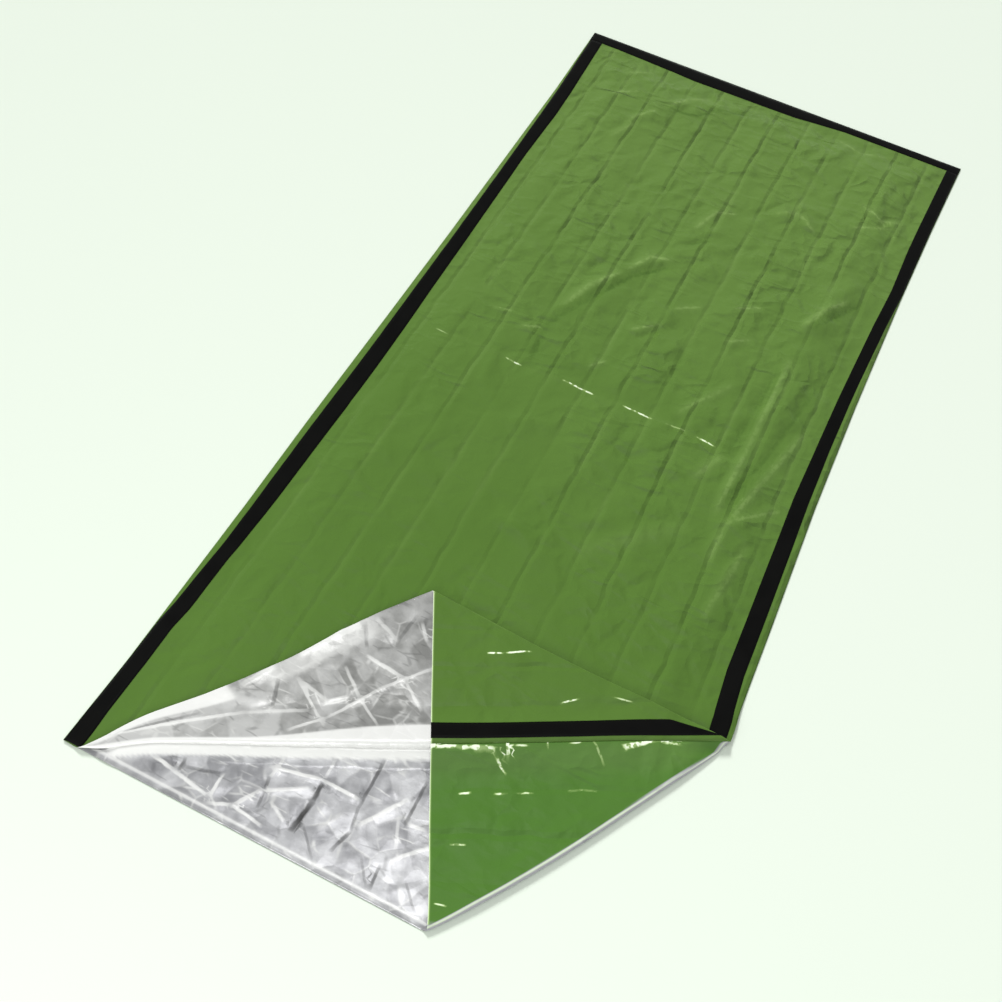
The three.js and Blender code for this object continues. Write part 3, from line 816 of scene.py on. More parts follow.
    def rim_shading(self, x: Array, y: Array) -> Array:
        """How far the near fold's rim is painted, by the angle that the film has turned: painted shade on
        its side, painted highlight on its top.

        Args:
            x: Places across the cut.
            y: Places along it.

        Returns:
            1 on the arc's side, 2 on its top, and 0 before and past it.
        """
        near_r, near_q = self.along_near(x, y)
        radius = read(NEAR_FOLD, "size", near_r / self.near_length)
        turn = (near_q + math.pi / 2 * radius) / radius
        rim_shade = ease((turn + 0.3) / 0.3) * (1 - ease((near_q - math.pi / 2 * radius - 1.0) / 2.5))
        return rim_shade * (1 + ease((turn - 2.6) / 0.35))

    def roll_row(self, x: Array, angle: float) -> Array:
        """Row of the upper cut that lies at an angle of the roll, found in a few steps.

        Args:
            x: Places across the cut.
            angle: Angle that the film has turned there.

        Returns:
            Places along the cut.
        """
        y = x * self.peel / self.width
        for _ in range(self.roll_steps):
            across = x - self.drawn_in(x, y)
            radius, seam = self.roll(self.along_fold(across, y)[0])
            y = (radius * (seam - angle) + across * math.sin(self.tilt)) / math.cos(self.tilt)
        return y

    def near_row(self, x: Array, q: Array) -> Array:
        """Row at a given distance past the near fold's line."""
        c, s = self.near_way
        return ((x - self.apex) * s - q) / c


def stretch(first: Array, last: Array, count: int) -> Array:
    """Rows spread evenly from one row to another, with the first and without the last.

    Args:
        first: First row, one value to a column.
        last: Row that they stop short of.
        count: How many.

    Returns:
        Rows by columns.
    """
    share = (np.arange(count) / count)[:, None]
    return first[None, :] + (last - first)[None, :] * share


def sheet_mesh(name: str, points: Array, cut: Array, marks: dict[str, Array]) -> Piece:
    """Makes a sheet of a grid of points; neighbours in a column that share a place on the cut are one.

    Args:
        name: Name of the piece.
        points: Points in metres, rows by columns by 3.
        cut: Place on the flat cut in millimetres, rows by columns by 2.
        marks: Values at the points, by attribute name.

    Returns:
        The piece, with its cut as a UV map in metres.
    """
    rows, columns = points.shape[:2]
    fresh = np.ones((rows, columns), bool)
    fresh[1:] = np.abs(np.diff(cut[..., 1], axis=0)) > 0.05
    order = np.cumsum(fresh.T.ravel()).reshape(columns, rows).T - 1
    keep = np.zeros((int(order.max()) + 1, 2), int)
    grid = np.stack(np.meshgrid(np.arange(rows), np.arange(columns), indexing="ij"), -1)
    keep[order[fresh]] = grid[fresh]
    corners = np.stack([order[:-1, :-1], order[1:, :-1], order[1:, 1:], order[:-1, 1:]], -1).reshape(-1, 4)
    left, right = corners[:, 0] == corners[:, 1], corners[:, 2] == corners[:, 3]
    faces = corners[~left & ~right].tolist()
    faces += corners[left & ~right][:, 1:].tolist() + corners[right & ~left][:, :3].tolist()
    mesh = bpy.data.meshes.new(name)
    mesh.from_pydata(points[keep[:, 0], keep[:, 1]].tolist(), [], faces)
    for mark, values in marks.items():
        layer = mesh.attributes.new(mark, "FLOAT", "POINT")
        layer.data.foreach_set("value", values[keep[:, 0], keep[:, 1]].astype(np.float32))
    corner = np.zeros(len(mesh.loops), np.int32)
    mesh.loops.foreach_get("vertex_index", corner)
    flat = cut[keep[:, 0], keep[:, 1]][corner] * MM
    mesh.uv_layers.new(name="cut").data.foreach_set("uv", flat.astype(np.float32).ravel())
    mesh.shade_smooth()
    mesh.update()
    piece = bpy.data.objects.new(name, mesh)
    bpy.context.collection.objects.link(piece)
    return piece


def add(tree: Tree, kind: str, links: dict | tuple = (), **settings: str) -> Node:
    """Adds a shader node with its settings and links.

    Args:
        tree: Tree to add to.
        kind: Node type, less its prefix.
        links: What each input takes, by name, number or order: a value, an output, or a node, which stands
            for its first output.
        settings: Properties of the node.

    Returns:
        The node.
    """
    node = tree.nodes.new("ShaderNode" + kind)
    for key, value in settings.items():
        setattr(node, key, value)
    for key, value in links.items() if isinstance(links, dict) else enumerate(links):
        source = value.outputs[0] if isinstance(value, Node) else value
        if isinstance(source, Socket):
            tree.links.new(source, node.inputs[key])
        else:
            node.inputs[key].default_value = source
    return node


def sized(place: Socket | Node, size_mm: float, **inputs: float) -> dict:
    """Inputs of a pattern at places on the piece, scaled from its size in millimetres."""
    return {"Vector": place, "Scale": PER_METRE / size_mm, **inputs}


def new_material(name: str) -> tuple[Material, Tree]:
    """Makes an empty material.

    Args:
        name: Name of the material.

    Returns:
        The material and its tree.
    """
    material = bpy.data.materials.new(name)
    material.use_nodes = True
    material.node_tree.nodes.clear()
    return material, material.node_tree


@dataclass(frozen=True)
class Film:
    """What both faces of the film share: drawn crease lines and bands of painted highlight and shade, and
    uneven facets.
    """

    line_half: float = 2.4
    line_core: float = 0.7
    waver_mm: float = 1.6
    waver_size: float = 14.0
    broken_mm: float = 0.0
    warp: float = 0.15

    def lines(self, tree: Tree, place: Socket) -> Node:
        """Strength of painted highlight, white above zero, and painted shade, dark below it, along crease
        lines and in bands.

        A line is full within its core of the crease and gone past its half width. Noise makes it waver, and
        breaks it into bits where the film has a size for them.

        Args:
            tree: Tree to add to.
            place: Place on the piece.

        Returns:
            The node that gives the strength.
        """
        names = ("tone", "line", "band")
        tone, line, band = (add(tree, "Attribute", attribute_name=name).outputs["Fac"] for name in names)
        cloud = add(tree, "TexNoise", sized(place, self.waver_size, Detail=2.0))
        shift = add(tree, "Math", (cloud, -0.5), operation="ADD")
        moved = add(tree, "Math", (shift, 2 * self.waver_mm, line), operation="MULTIPLY_ADD")
        off = add(tree, "Math", (moved,), operation="ABSOLUTE")
        drawn = add(tree, "MapRange", (off, self.line_core, self.line_half, 1.0, 0.0), **STEP)
        if self.broken_mm:
            bits = add(tree, "TexNoise", sized(place, self.broken_mm, Detail=2.0))
            held = add(tree, "MapRange", (bits, 0.41, 0.54, 0.18, 1.0), **STEP)
            drawn = add(tree, "Math", (drawn, held), operation="MULTIPLY")
        return add(tree, "Math", (drawn, tone, band), operation="MULTIPLY_ADD")

    def warped(self, tree: Tree, place: Socket, size_mm: float) -> Node:
        """Moves places about by a part of a facet, so that facets come uneven.

        Args:
            tree: Tree to add to.
            place: Place on the piece.
            size_mm: Size of a facet.

        Returns:
            The node that gives the moved place.
        """
        clouds = add(tree, "TexNoise", sized(place, size_mm / 0.9, Detail=3.0)).outputs["Color"]
        reach = size_mm * MM * self.warp
        return add(tree, "VectorMath", (clouds, (reach, reach, reach), place), operation="MULTIPLY_ADD")


@dataclass(frozen=True)
class GreenFilm(Film):
    """Green polyethylene film, thin and creased in its pack: soft gloss, low contrast, fine crinkles."""

    broken_mm: float = 11.0
    warp: float = 0.8
    base: str = "#4b6c27"
    # Painted light: the film is mixed towards light at the foot, and in random clouds
    light: str = "#5e7c38"
    # Painted highlight, pale on ridges and white in glints, and painted shade, dark in creases
    pale: str = "#a5c278"
    glint: str = "#eef7e2"
    dark: str = "#3f5d20"
    # Painted shade on the near fold's rim, and painted highlight on its top
    rim_shade: str = "#a2a1a8"
    rim_highlight: str = "#c6d3ba"
    roughness: tuple[float, float] = (0.34, 0.48)
    specular: float = 0.3
    cloud_mm: float = 260.0
    # Where along the bag, in metres, the painted light towards the foot begins and is full
    fade_from: float = -0.6
    fade_to: float = 0.9
    # The film's own crinkles are finer than this, too fine to show
    crinkle_mm: float = 9.0
    crinkle_rise: float = 0.2
    facet_mm: float = 62.0
    facet_rise: float = 4.0
    facet_patch_mm: float = 150.0
    swell_mm: float = 95.0
    swell_rise: float = 11.0
    bay_mm: float = 70.0
    pack_half: float = 8.0
    pack_rise: float = -3.8
    pack_waver_mm: float = 55.0
    pack_patch_mm: float = 120.0
    cross_mm: tuple[float, float] = (125.0, 48.0)
    cross_turn: float = 24.0
    cross_rise: float = 3.0
    cross_patch_mm: float = 130.0

    def packed(self, tree: Tree, place: Socket) -> Node:
        """Packing creases along the cut, each soft and nearly as deep as the next.

        A crease falls off evenly to nothing in its half width. Noise makes it waver, come and go.

        Args:
            tree: Tree to add to.
            place: Place on the piece.

        Returns:
            The node that gives the crease, 1 where it is full.
        """
        across = add(tree, "SeparateXYZ", (add(tree, "UVMap", uv_map="cut"),))
        waver = add(tree, "TexNoise", sized(place, self.pack_waver_mm, Detail=2.0))
        shift = add(tree, "Math", (waver, 0.2, -0.1), operation="MULTIPLY_ADD")
        bays = add(tree, "Math", (across, PER_METRE / self.bay_mm, shift), operation="MULTIPLY_ADD")
        near = add(tree, "Math", (bays, 0.5), operation="PINGPONG")
        off = add(tree, "Math", (near, self.pack_half / self.bay_mm), operation="DIVIDE")
        rest = add(tree, "Math", (1.0, off), operation="SUBTRACT")
        line = add(tree, "Math", (rest, 0.0), operation="MAXIMUM")
        angle = add(tree, "Math", (bays, math.pi), operation="MULTIPLY")
        turn = add(tree, "Math", (angle,), operation="COSINE")
        side = add(tree, "Math", (turn, -0.2, 0.8), operation="MULTIPLY_ADD")
        cloud = add(tree, "TexNoise", sized(place, self.pack_patch_mm, Detail=1.0))
        held = add(tree, "MapRange", (cloud, 0.34, 0.54, 0.3, 1.0), **STEP)
        full = add(tree, "Math", (line, side), operation="MULTIPLY")
        return add(tree, "Math", (full, held), operation="MULTIPLY")

    def crossed(self, tree: Tree, place: Socket) -> Node:
        """Short sharp wrinkles across the bag: ridges where drawn-out noise passes its middle, in patches.

        Args:
            tree: Tree to add to.
            place: Place on the piece.

        Returns:
            The node that gives the height, 1 on a full ridge.
        """
        wide, deep = (PER_METRE / size for size in self.cross_mm)
        turn = (0.0, 0.0, math.radians(self.cross_turn))
        drawn_out = add(tree, "Mapping", {"Vector": place, "Rotation": turn, "Scale": (wide, deep, deep)})
        waves = add(tree, "TexNoise", sized(drawn_out, PER_METRE, Detail=1.5, Distortion=0.5))
        shift = add(tree, "Math", (waves, -0.5), operation="ADD")
        off = add(tree, "Math", (shift,), operation="ABSOLUTE")
        rise = add(tree, "Math", (off, -8.0, 1.0), operation="MULTIPLY_ADD")
        ridge = add(tree, "Math", (rise, 0.0), operation="MAXIMUM")
        cloud = add(tree, "TexNoise", sized(place, self.cross_patch_mm, Detail=2.0))
        patch = add(tree, "MapRange", (cloud, 0.44, 0.6, 0.0, 1.0), **STEP)
        return add(tree, "Math", (ridge, patch), operation="MULTIPLY")

    def relief(self, tree: Tree, place: Socket) -> Node:
        """Height of the film's finest folds in millimetres: more at the foot and right, less at the mouth.

        Args:
            tree: Tree to add to.
            place: Place on the piece.

        Returns:
            The node that sums crinkles, swells, facets, packing creases and cross wrinkles.
        """
        crinkle = add(tree, "TexNoise", sized(place, self.crinkle_mm, Detail=3.0, Distortion=0.6))
        moved = self.warped(tree, place, self.facet_mm)
        edge = add(tree, "TexVoronoi", sized(moved, self.facet_mm), feature="DISTANCE_TO_EDGE")
        flat = add(tree, "MapRange", (edge, 0.0, 0.3, 0.0, 1.0), **STEP)
        cloud = add(tree, "TexNoise", sized(place, self.facet_patch_mm, Detail=2.0))
        patch = add(tree, "MapRange", (cloud, 0.38, 0.62, 0.2, 1.0), **STEP)
        facet = add(tree, "Math", (flat, patch), operation="MULTIPLY")
        packed, crossed = self.packed(tree, place), self.crossed(tree, place)
        swell = add(tree, "TexNoise", sized(place, self.swell_mm, Detail=3.0))
        height = add(tree, "Math", (swell, self.swell_rise), operation="MULTIPLY")
        for form, rise in ((facet, self.facet_rise), (packed, self.pack_rise), (crossed, self.cross_rise)):
            height = add(tree, "Math", (form, rise, height), operation="MULTIPLY_ADD")
        axes = add(tree, "SeparateXYZ", (place,)).outputs
        far = add(tree, "Math", (axes["Y"], 1.6, axes["X"]), operation="MULTIPLY_ADD")
        share = add(tree, "MapRange", (far, -0.9, 0.7, 0.45, 1.0), **STEP)
        held = add(tree, "Math", (height, share), operation="MULTIPLY")
        return add(tree, "Math", (crinkle, self.crinkle_rise, held), operation="MULTIPLY_ADD")

    def make(self, name: str, rim_shading: bool) -> Material:
        """Makes the material.

        Args:
            name: Name of the material.
            rim_shading: Whether its attribute "rim_shading" shows painted shade on the near fold's rim and
                painted highlight on its top.

        Returns:
            The material.
        """
        material, tree = new_material(name)
        place = add(tree, "TexCoord").outputs["Object"]
        # Painted light: lighter towards the foot, and in random clouds
        cloud = add(tree, "TexNoise", sized(place, self.cloud_mm, Detail=3.0))
        along = add(tree, "SeparateXYZ", (place,)).outputs["Y"]
        fade = add(tree, "MapRange", (along, self.fade_from, self.fade_to, 0.0, 0.8), **STEP)
        paler = add(tree, "Math", (cloud, 0.3, fade), operation="MULTIPLY_ADD")
        # Painted highlight, pale and then white, and painted shade, along crease lines and in bands
        strength = self.lines(tree, place)
        paled = add(tree, "Math", (strength, 3.0), operation="MULTIPLY")
        shining = add(tree, "MapRange", (strength, 0.1, 0.8, 0.0, 1.0), **STEP)
        painted_shade = add(tree, "Math", (strength, -1.0), operation="MULTIPLY")
        coats = [(paler, self.light), (paled, self.pale), (shining, self.glint), (painted_shade, self.dark)]
        # Painted shade on the near fold's rim, and painted highlight on its top
        if rim_shading:
            rim_mark = add(tree, "Attribute", attribute_name="rim_shading").outputs["Fac"]
            top = add(tree, "Math", (rim_mark, -1.0), operation="ADD")
            coats += [(rim_mark, self.rim_shade), (top, self.rim_highlight)]
        colour = linear(self.base)
        for factor, other in coats:
            colour = add(tree, "Mix", {0: factor, 6: colour, 7: linear(other)}, **COLOUR).outputs[2]
        bump = add(tree, "Bump", {"Height": self.relief(tree, place), "Strength": 1.0, "Distance": MM})
        gloss = add(tree, "MapRange", (cloud, 0.3, 0.7, *self.roughness), **STEP)
        looks = {"Base Color": colour, "Normal": bump, "Roughness": gloss}
        shader = add(tree, "BsdfPrincipled", looks | {"Specular IOR Level": self.specular})
        add(tree, "OutputMaterial", {"Surface": shader})
        return material


@dataclass(frozen=True)
class SilverFilm(Film):
    """Film metallised with vapour-deposited aluminium: facets painted in greys as reflection, and slivers
    with painted highlight on broken edges.
    """

    line_half: float = 3.8
    line_core: float = 1.3
    # Facet greys of painted reflection, and the colours of painted highlight and painted shade
    base: str = "#d2d2d2"
    shade: str = "#bcbcbc"
    bright: str = "#f3f3f1"
    dark: str = "#4a4a4a"
    roughness: float = 0.3
    metallic: float = 0.6
    metallic_white: float = 0.3
    facet_mm: float = 44.0
    facet_rise: float = 4.0
    fine_mm: float = 7.0
    fine_rise: float = 0.4
    # Strength of painted highlight on facet rims
    ridge: float = 0.4
    ridge_patch_mm: float = 70.0
    crack_mm: tuple[float, float] = (52.0, 17.0)
    crack_turn: float = -32.0
    crack_patch_mm: float = 40.0
    cloud_mm: float = 26.0
    # How much lighter the facets are painted to the left, as painted reflection, and their mean level
    lean: float = 0.0
    level: float = -0.7

    def cracks(self, tree: Tree, place: Socket, moved: Node) -> tuple[Node, Node]:
        """Edges of long slivers of crumpled film, lit in some patches and unlit in others.

        Args:
            tree: Tree to add to.
            place: Place on the piece.
            moved: The place, moved about.

        Returns:
            The nodes that give the lit edges and the unlit ones.
        """
        wide, deep = (PER_METRE / size for size in self.crack_mm)
        turn = (0.0, 0.0, math.radians(self.crack_turn))
        slivers = add(tree, "Mapping", {"Vector": moved, "Rotation": turn, "Scale": (wide, deep, deep)})
        off = add(tree, "TexVoronoi", sized(slivers, PER_METRE), feature="DISTANCE_TO_EDGE")
        crack = add(tree, "MapRange", (off, 0.01, 0.1, 1.0, 0.0), **STEP)
        cloud = add(tree, "TexNoise", sized(place, self.crack_patch_mm, Detail=2.0))
        lit = add(tree, "MapRange", (cloud, 0.52, 0.66, 0.0, 0.6), **STEP)
        unlit = add(tree, "MapRange", (cloud, 0.36, 0.46, 0.3, 0.0), **STEP)
        edges = [add(tree, "Math", (crack, share), operation="MULTIPLY") for share in (lit, unlit)]
        return edges[0], edges[1]

    def make(self, name: str) -> Material:
        """Makes the material.

        Args:
            name: Name of the material.

        Returns:
            The material.
        """
        material, tree = new_material(name)
        place = add(tree, "TexCoord").outputs["Object"]
        moved = self.warped(tree, place, self.facet_mm)
        # Painted reflection: each facet a random grey between shade and base, lighter to one side and in
        # clouds
        soft = add(tree, "TexVoronoi", sized(moved, self.facet_mm, Smoothness=0.22), feature="SMOOTH_F1")
        cell = add(tree, "SeparateColor", (soft.outputs["Color"],))
        level = add(tree, "Math", (cell, 0.8, self.level), operation="MULTIPLY_ADD")
        across = add(tree, "SeparateXYZ", (place,))
        level = add(tree, "Math", (across, -self.lean, level), operation="MULTIPLY_ADD")
        cloud = add(tree, "TexNoise", sized(place, self.cloud_mm, Detail=4.0))
        level = add(tree, "Math", (cloud, 1.6, level), operation="MULTIPLY_ADD")
        # Painted highlight on the facets' rims, in patches
        edge = add(tree, "TexVoronoi", sized(moved, self.facet_mm), feature="DISTANCE_TO_EDGE")
        rim = add(tree, "MapRange", (edge, 0.005, 0.06, self.ridge, 0.0), **STEP)
        patch = add(tree, "TexNoise", sized(place, self.ridge_patch_mm, Detail=2.0))
        shown = add(tree, "MapRange", (patch, 0.48, 0.62, 0.0, 1.0), **STEP)
        ridge = add(tree, "Math", (rim, shown), operation="MULTIPLY")
        # Painted highlight and shade on sliver edges, and along crease lines and bands
        lit, unlit = self.cracks(tree, place, moved)
        strength = self.lines(tree, place)
        painted_shade = add(tree, "Math", (strength, -1.0), operation="MULTIPLY")
        coats = [(level, self.base), (ridge, self.bright), (lit, self.bright), (unlit, self.dark)]
        coats += [(strength, self.bright), (painted_shade, self.dark)]
        colour = linear(self.shade)
        for factor, other in coats:
            colour = add(tree, "Mix", {0: factor, 6: colour, 7: linear(other)}, **COLOUR).outputs[2]
        low = add(tree, "Math", (edge, 0.35), operation="MINIMUM")
        fold = add(tree, "Math", (low, self.facet_rise), operation="MULTIPLY")
        fine = add(tree, "TexNoise", sized(place, self.fine_mm, Detail=3.0))
        height = add(tree, "Math", (fine, self.fine_rise, fold), operation="MULTIPLY_ADD")
        bump = add(tree, "Bump", {"Height": height, "Strength": 0.5, "Distance": MM})
        metal = add(tree, "MapRange", (strength, 0.0, 1.0, self.metallic, self.metallic_white), **STEP)
        looks = {"Base Color": colour, "Normal": bump, "Metallic": metal, "Roughness": self.roughness}
        add(tree, "OutputMaterial", {"Surface": add(tree, "BsdfPrincipled", looks)})
        return material


@dataclass(frozen=True)
class BlackTape:
    """Black polyethylene tape pressed on by hand: near black, a faint sheen in patches and fine ribs."""

    base: str = "#050505"
    sheen: str = "#0c0c0b"
    roughness: tuple[float, float] = (0.34, 0.58)
    specular: float = 0.1
    patch_mm: float = 55.0
    # The tape's own ribs are finer than this, too fine to show
    rib_mm: float = 4.0
    rib_rise: float = 0.6

    def make(self, name: str) -> Material:
        """Makes the material.

        Args:
            name: Name of the material.

        Returns:
            The material.
        """
        material, tree = new_material(name)
        place = add(tree, "TexCoord").outputs["Object"]
        patch = add(tree, "TexNoise", sized(place, self.patch_mm, Detail=3.0))
        coat = {0: patch, 6: linear(self.base), 7: linear(self.sheen)}
        colour = add(tree, "Mix", coat, **COLOUR).outputs[2]
        rib = add(tree, "TexNoise", sized(place, self.rib_mm, Detail=2.0))
        bump = add(tree, "Bump", {"Height": rib, "Strength": 0.2, "Distance": self.rib_rise * MM})
        gloss = add(tree, "MapRange", (patch, 0.3, 0.7, *self.roughness), **STEP)
        looks = {"Base Color": colour, "Normal": bump, "Roughness": gloss}
        shader = add(tree, "BsdfPrincipled", looks | {"Specular IOR Level": self.specular})
        add(tree, "OutputMaterial", {"Surface": shader})
        return material


@dataclass
class FilmPanel:
    """A panel of the bag: one flat cut of film, with two faces."""

    fold: SquashFold
    name: str
    node: str
    slot: Slot
    rests_on: tuple[str, ...]
    wall: float = 0.3
    clear: float = 0.2
    # Columns of a bay, as shares of it, columns off the right-hand edge, and rows at the mouth edge
    bay_columns: tuple[float, ...] = (
        0, 0.03, 0.09, 0.18, 0.27, 0.36, 0.45, 0.55, 0.64, 0.73, 0.82, 0.91, 0.97,
    )
    seam_from: float = 38.0
    seam_columns: tuple[float, ...] = (36, 31, 27, 23, 19, 15, 11, 8, 5, 2.5, 0)
    edge_rows: tuple[float, ...] = (3.5, 1.8, 0.0)
    flap_rows: int = 60

    def columns(self) -> Array:
        """Columns of the cut: close at the packing creases and at the right-hand seam.

        Returns:
            Places across the cut.
        """
        bays = np.arange(len(PACK_RISES) - 1)
        inner = (bays[:, None] + np.array(self.bay_columns)[None, :]).ravel() * self.fold.relief.bay
        seam = self.fold.width - self.clear - np.array(self.seam_columns)
        return np.concatenate([inner[inner < self.fold.width - self.seam_from], seam])

    def flap(self, x: Array, crease: Array) -> Array:
        """Rows of the corner past a fold, close at the mouth edge.

        Args:
            x: Columns.
            crease: Rows of the fold.

        Returns:
            Rows by columns.
        """
        rows = stretch(crease[-1], np.full_like(x, self.edge_rows[0]), self.flap_rows)
        edge = np.repeat(np.array(self.edge_rows)[:, None], len(x), 1)
        return np.minimum(np.concatenate([rows, edge]), crease[-1])

    def dress(self, piece: Piece, faces: list[Material]) -> None:
        """Gives the panel its wall and faces, hangs it from the root, and hides the part of the solid that
        it stands for.

        Args:
            piece: The sheet.
            faces: Materials of its upper and under face.
        """
        for material in faces:
            piece.data.materials.append(material)
        wall = piece.modifiers.new("wall", "SOLIDIFY")
        wall.thickness = self.wall * MM
        wall.offset = 0.0
        wall.material_offset = 1
        wall.material_offset_rim = 1
        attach(piece, "root")
        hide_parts(self.node)


@dataclass
class UpperPanel(FilmPanel):
    """Upper panel: single over most of the bag, rolled back at the mouth, its corner folded again."""

    row_step: float = 10.0
    # Rows between the even ones, at the foot and at the middle fold mark
    mark_rows: tuple[float, ...] = (2006, 2002, 1996, 1022, 1017, 1013, 1008)
    low_from: float = 560.0
    low_rows: int = 40
    roll_rows: int = 14
    turned_rows: int = 60
    fold_rows: int = 7
    flap_rows: int = 56

    def rows(self, x: Array) -> Array:
        """Rows of the cut from foot to mouth: panel, roll, turned layer, fold, flap.

        Args:
            x: Columns.

        Returns:
            Rows by columns.
        """
        fold = self.fold
        main = np.arange(fold.length, self.low_from + 5, -self.row_step)
        main = -np.sort(-np.unique(np.round(np.concatenate([main, self.mark_rows]), 1)))
        arc = math.pi / 2 * fold.second_radius
        crease = np.maximum(0, fold.near_row(x[None, :], np.linspace(-arc, arc, self.fold_rows)[:, None]))
        low = stretch(np.full_like(x, self.low_from), fold.roll_row(x, 0), self.low_rows)
        roll = np.stack([fold.roll_row(x, angle) for angle in np.linspace(0, math.pi, self.roll_rows)])
        turned = stretch(np.maximum(roll[-1], crease[0]), crease[0], self.turned_rows)
        before = np.concatenate([np.repeat(main[:, None], len(x), 1), low, roll, turned])
        return np.concatenate([np.maximum(before, crease[0]), crease, self.flap(x, crease)])

    def build(self) -> Piece:
        """Builds the panel as a grid on its cut, carried through the folds.

        Returns:
            The piece.
        """
        columns = self.columns()
        y = self.rows(columns)
        x = np.repeat(columns[None, :], len(y), 0)
        points, marks = self.fold.upper(x, y)
        return sheet_mesh(self.name, points, np.stack([x, y], -1), marks)


@dataclass
class LowerPanel(FilmPanel):
    """Lower panel: on the floor, silver inside the mouth, its corner folded over against the roll."""

    mouth_rows: int = 62
    fold_rows: int = 11
    # Rows under the single panel, where nothing shows, and rows of the lip at the mouth
    under_rows: tuple[float, ...] = (540, 500, 400, 300, 220, 160, 110)
    lip_rows: tuple[float, ...] = (28, 25, 22, 19, 16, 13.5, 11, 8.5, 6, 4, 2, 0)

    def rows(self, x: Array) -> Array:
        """Rows of the cut from foot to mouth: hidden floor, mouth, lip, near fold, flap.

        Args:
            x: Columns.

        Returns:
            Rows by columns.
        """
        fold = self.fold
        hidden = np.array([row.y for row in SIDES if row.y > self.under_rows[0]])[::-1]
        near_r = fold.along_near(x, x * fold.peel / fold.width)[0]
        arc = math.pi / 2 * read(NEAR_FOLD, "size", near_r / fold.near_length)
        turns = np.linspace(-1.25, 1.25, self.fold_rows)[:, None]
        crease = np.maximum(0, fold.near_row(x[None, :], turns * arc[None, :]))
        top = np.minimum(x * fold.peel / fold.width + 55, self.under_rows[0])
        under = np.maximum(np.array(self.under_rows)[:, None], top[None, :])
        mouth = stretch(top, np.maximum(self.lip_rows[0], crease[0]), self.mouth_rows)
        floor, lip = (np.repeat(np.array(rows)[:, None], len(x), 1) for rows in (hidden, self.lip_rows))
        before = np.concatenate([floor, under, mouth, lip])
        return np.concatenate([np.maximum(before, crease[0]), crease, self.flap(x, crease)])

    def build(self) -> Piece:
        """Builds the panel as a grid on its cut, carried over the floor and round its fold.

        Returns:
            The piece.
        """
        columns = self.columns()
        y = self.rows(columns)
        x = np.repeat(columns[None, :], len(y), 0)
        points, marks = self.fold.lower(x, y)
        # The near fold's rim carries painted shade on its side and painted highlight on its top
        return sheet_mesh(self.name, points, np.stack([x, y], -1), marks | {"rim_shading": self.fold.rim_shading(x, y)})


@dataclass
class SeamTape:
    """A strip of tape along one seam, stuck on the upper panel and going with it through its folds."""

    fold: SquashFold
    edge: Edge
    panel: UpperPanel
    thick: float = 0.3
    over_film: float = 0.55
    lower_end: float = 0.5
    end_slant: float = 2.5
    slant_from: float = 376.0
    slant_run: float = 74.0
    slant_share: float = 0.94
    clear: float = 0.4
    across: int = 6
    steps: int = 300

    def cut(self) -> tuple[Array, Array]:
        """Lays the strip's grid out on the upper cut, across its width and along the seam.

        Returns:
            Places across the cut and along it.
        """
        fold = self.fold
        share = np.linspace(0, 1, self.across)
        if self.edge is Edge.FOOT:
            ends = self.clear, fold.width - 2 * self.clear
            x = np.linspace(*ends, self.steps // 2)[None, :].repeat(self.across, 0)
            return x, fold.length - self.clear - read(FOOT_WIDTHS, "size", x) * share[:, None]
        if self.edge is Edge.LEFT:
            run = np.linspace(0, 1, self.steps)[:, None]
            top = fold.length - FOOT_WIDTHS[0].size - self.clear
            y = top + (self.lower_end - top) * run + run**40 * share[None, :] * self.end_slant
            return share[None, :] * read(TAPE_WIDTHS, "left", y) + read(MARGINS, "left", y), y
        seam = fold.width - self.panel.clear
        inner = seam - MARGINS[0].right - TAPE_WIDTHS[0].right * (1 - share)
        y = np.minimum(self.panel.rows(inner), fold.length - FOOT_WIDTHS[-1].size - self.clear)
        past = y < fold.roll_row(inner, math.pi)[None, :] - 0.05
        wide = read(TAPE_WIDTHS, "right", y) * (1 - share)
        slant = past * np.clip((y - self.slant_from) / self.slant_run, 0, 1) * self.slant_share * wide
        return seam - read(MARGINS, "right", y) - wide + slant, y

    def flat(self) -> tuple[float, float]:
        """Measures the strip laid out.

        Returns:
            Mean width and length, in millimetres.
        """
        if self.edge is Edge.FOOT:
            return float(read(FOOT_WIDTHS, "size", np.arange(self.fold.width)).mean()), self.fold.width
        side = "left" if self.edge is Edge.LEFT else "right"
        run = self.fold.length - FOOT_WIDTHS[0 if self.edge is Edge.LEFT else -1].size
        return float(read(TAPE_WIDTHS, side, np.arange(run)).mean()), run

    def build(self) -> Piece:
        """Builds the strip as a grid on the upper cut, a little above its green face.

        Returns:
            The piece.
        """
        x, y = self.cut()
        points = self.fold.upper(x, y, self.over_film)[0]
        return sheet_mesh(self.edge.value + "_strip", points, np.stack([x, y], -1), {})

    def dress(self, piece: Piece, material: Material) -> None:
        """Gives the strip its wall and finish, hangs it from the root, and hides the part of the solid that
        it stands for.

        Args:
            piece: The strip.
            material: Its finish.
        """
        piece.data.materials.append(material)
        wall = piece.modifiers.new("wall", "SOLIDIFY")
        wall.thickness = self.thick * MM
        wall.offset = 0.0
        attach(piece, "root")
        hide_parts(self.edge.value)
        wide, run = self.flat()


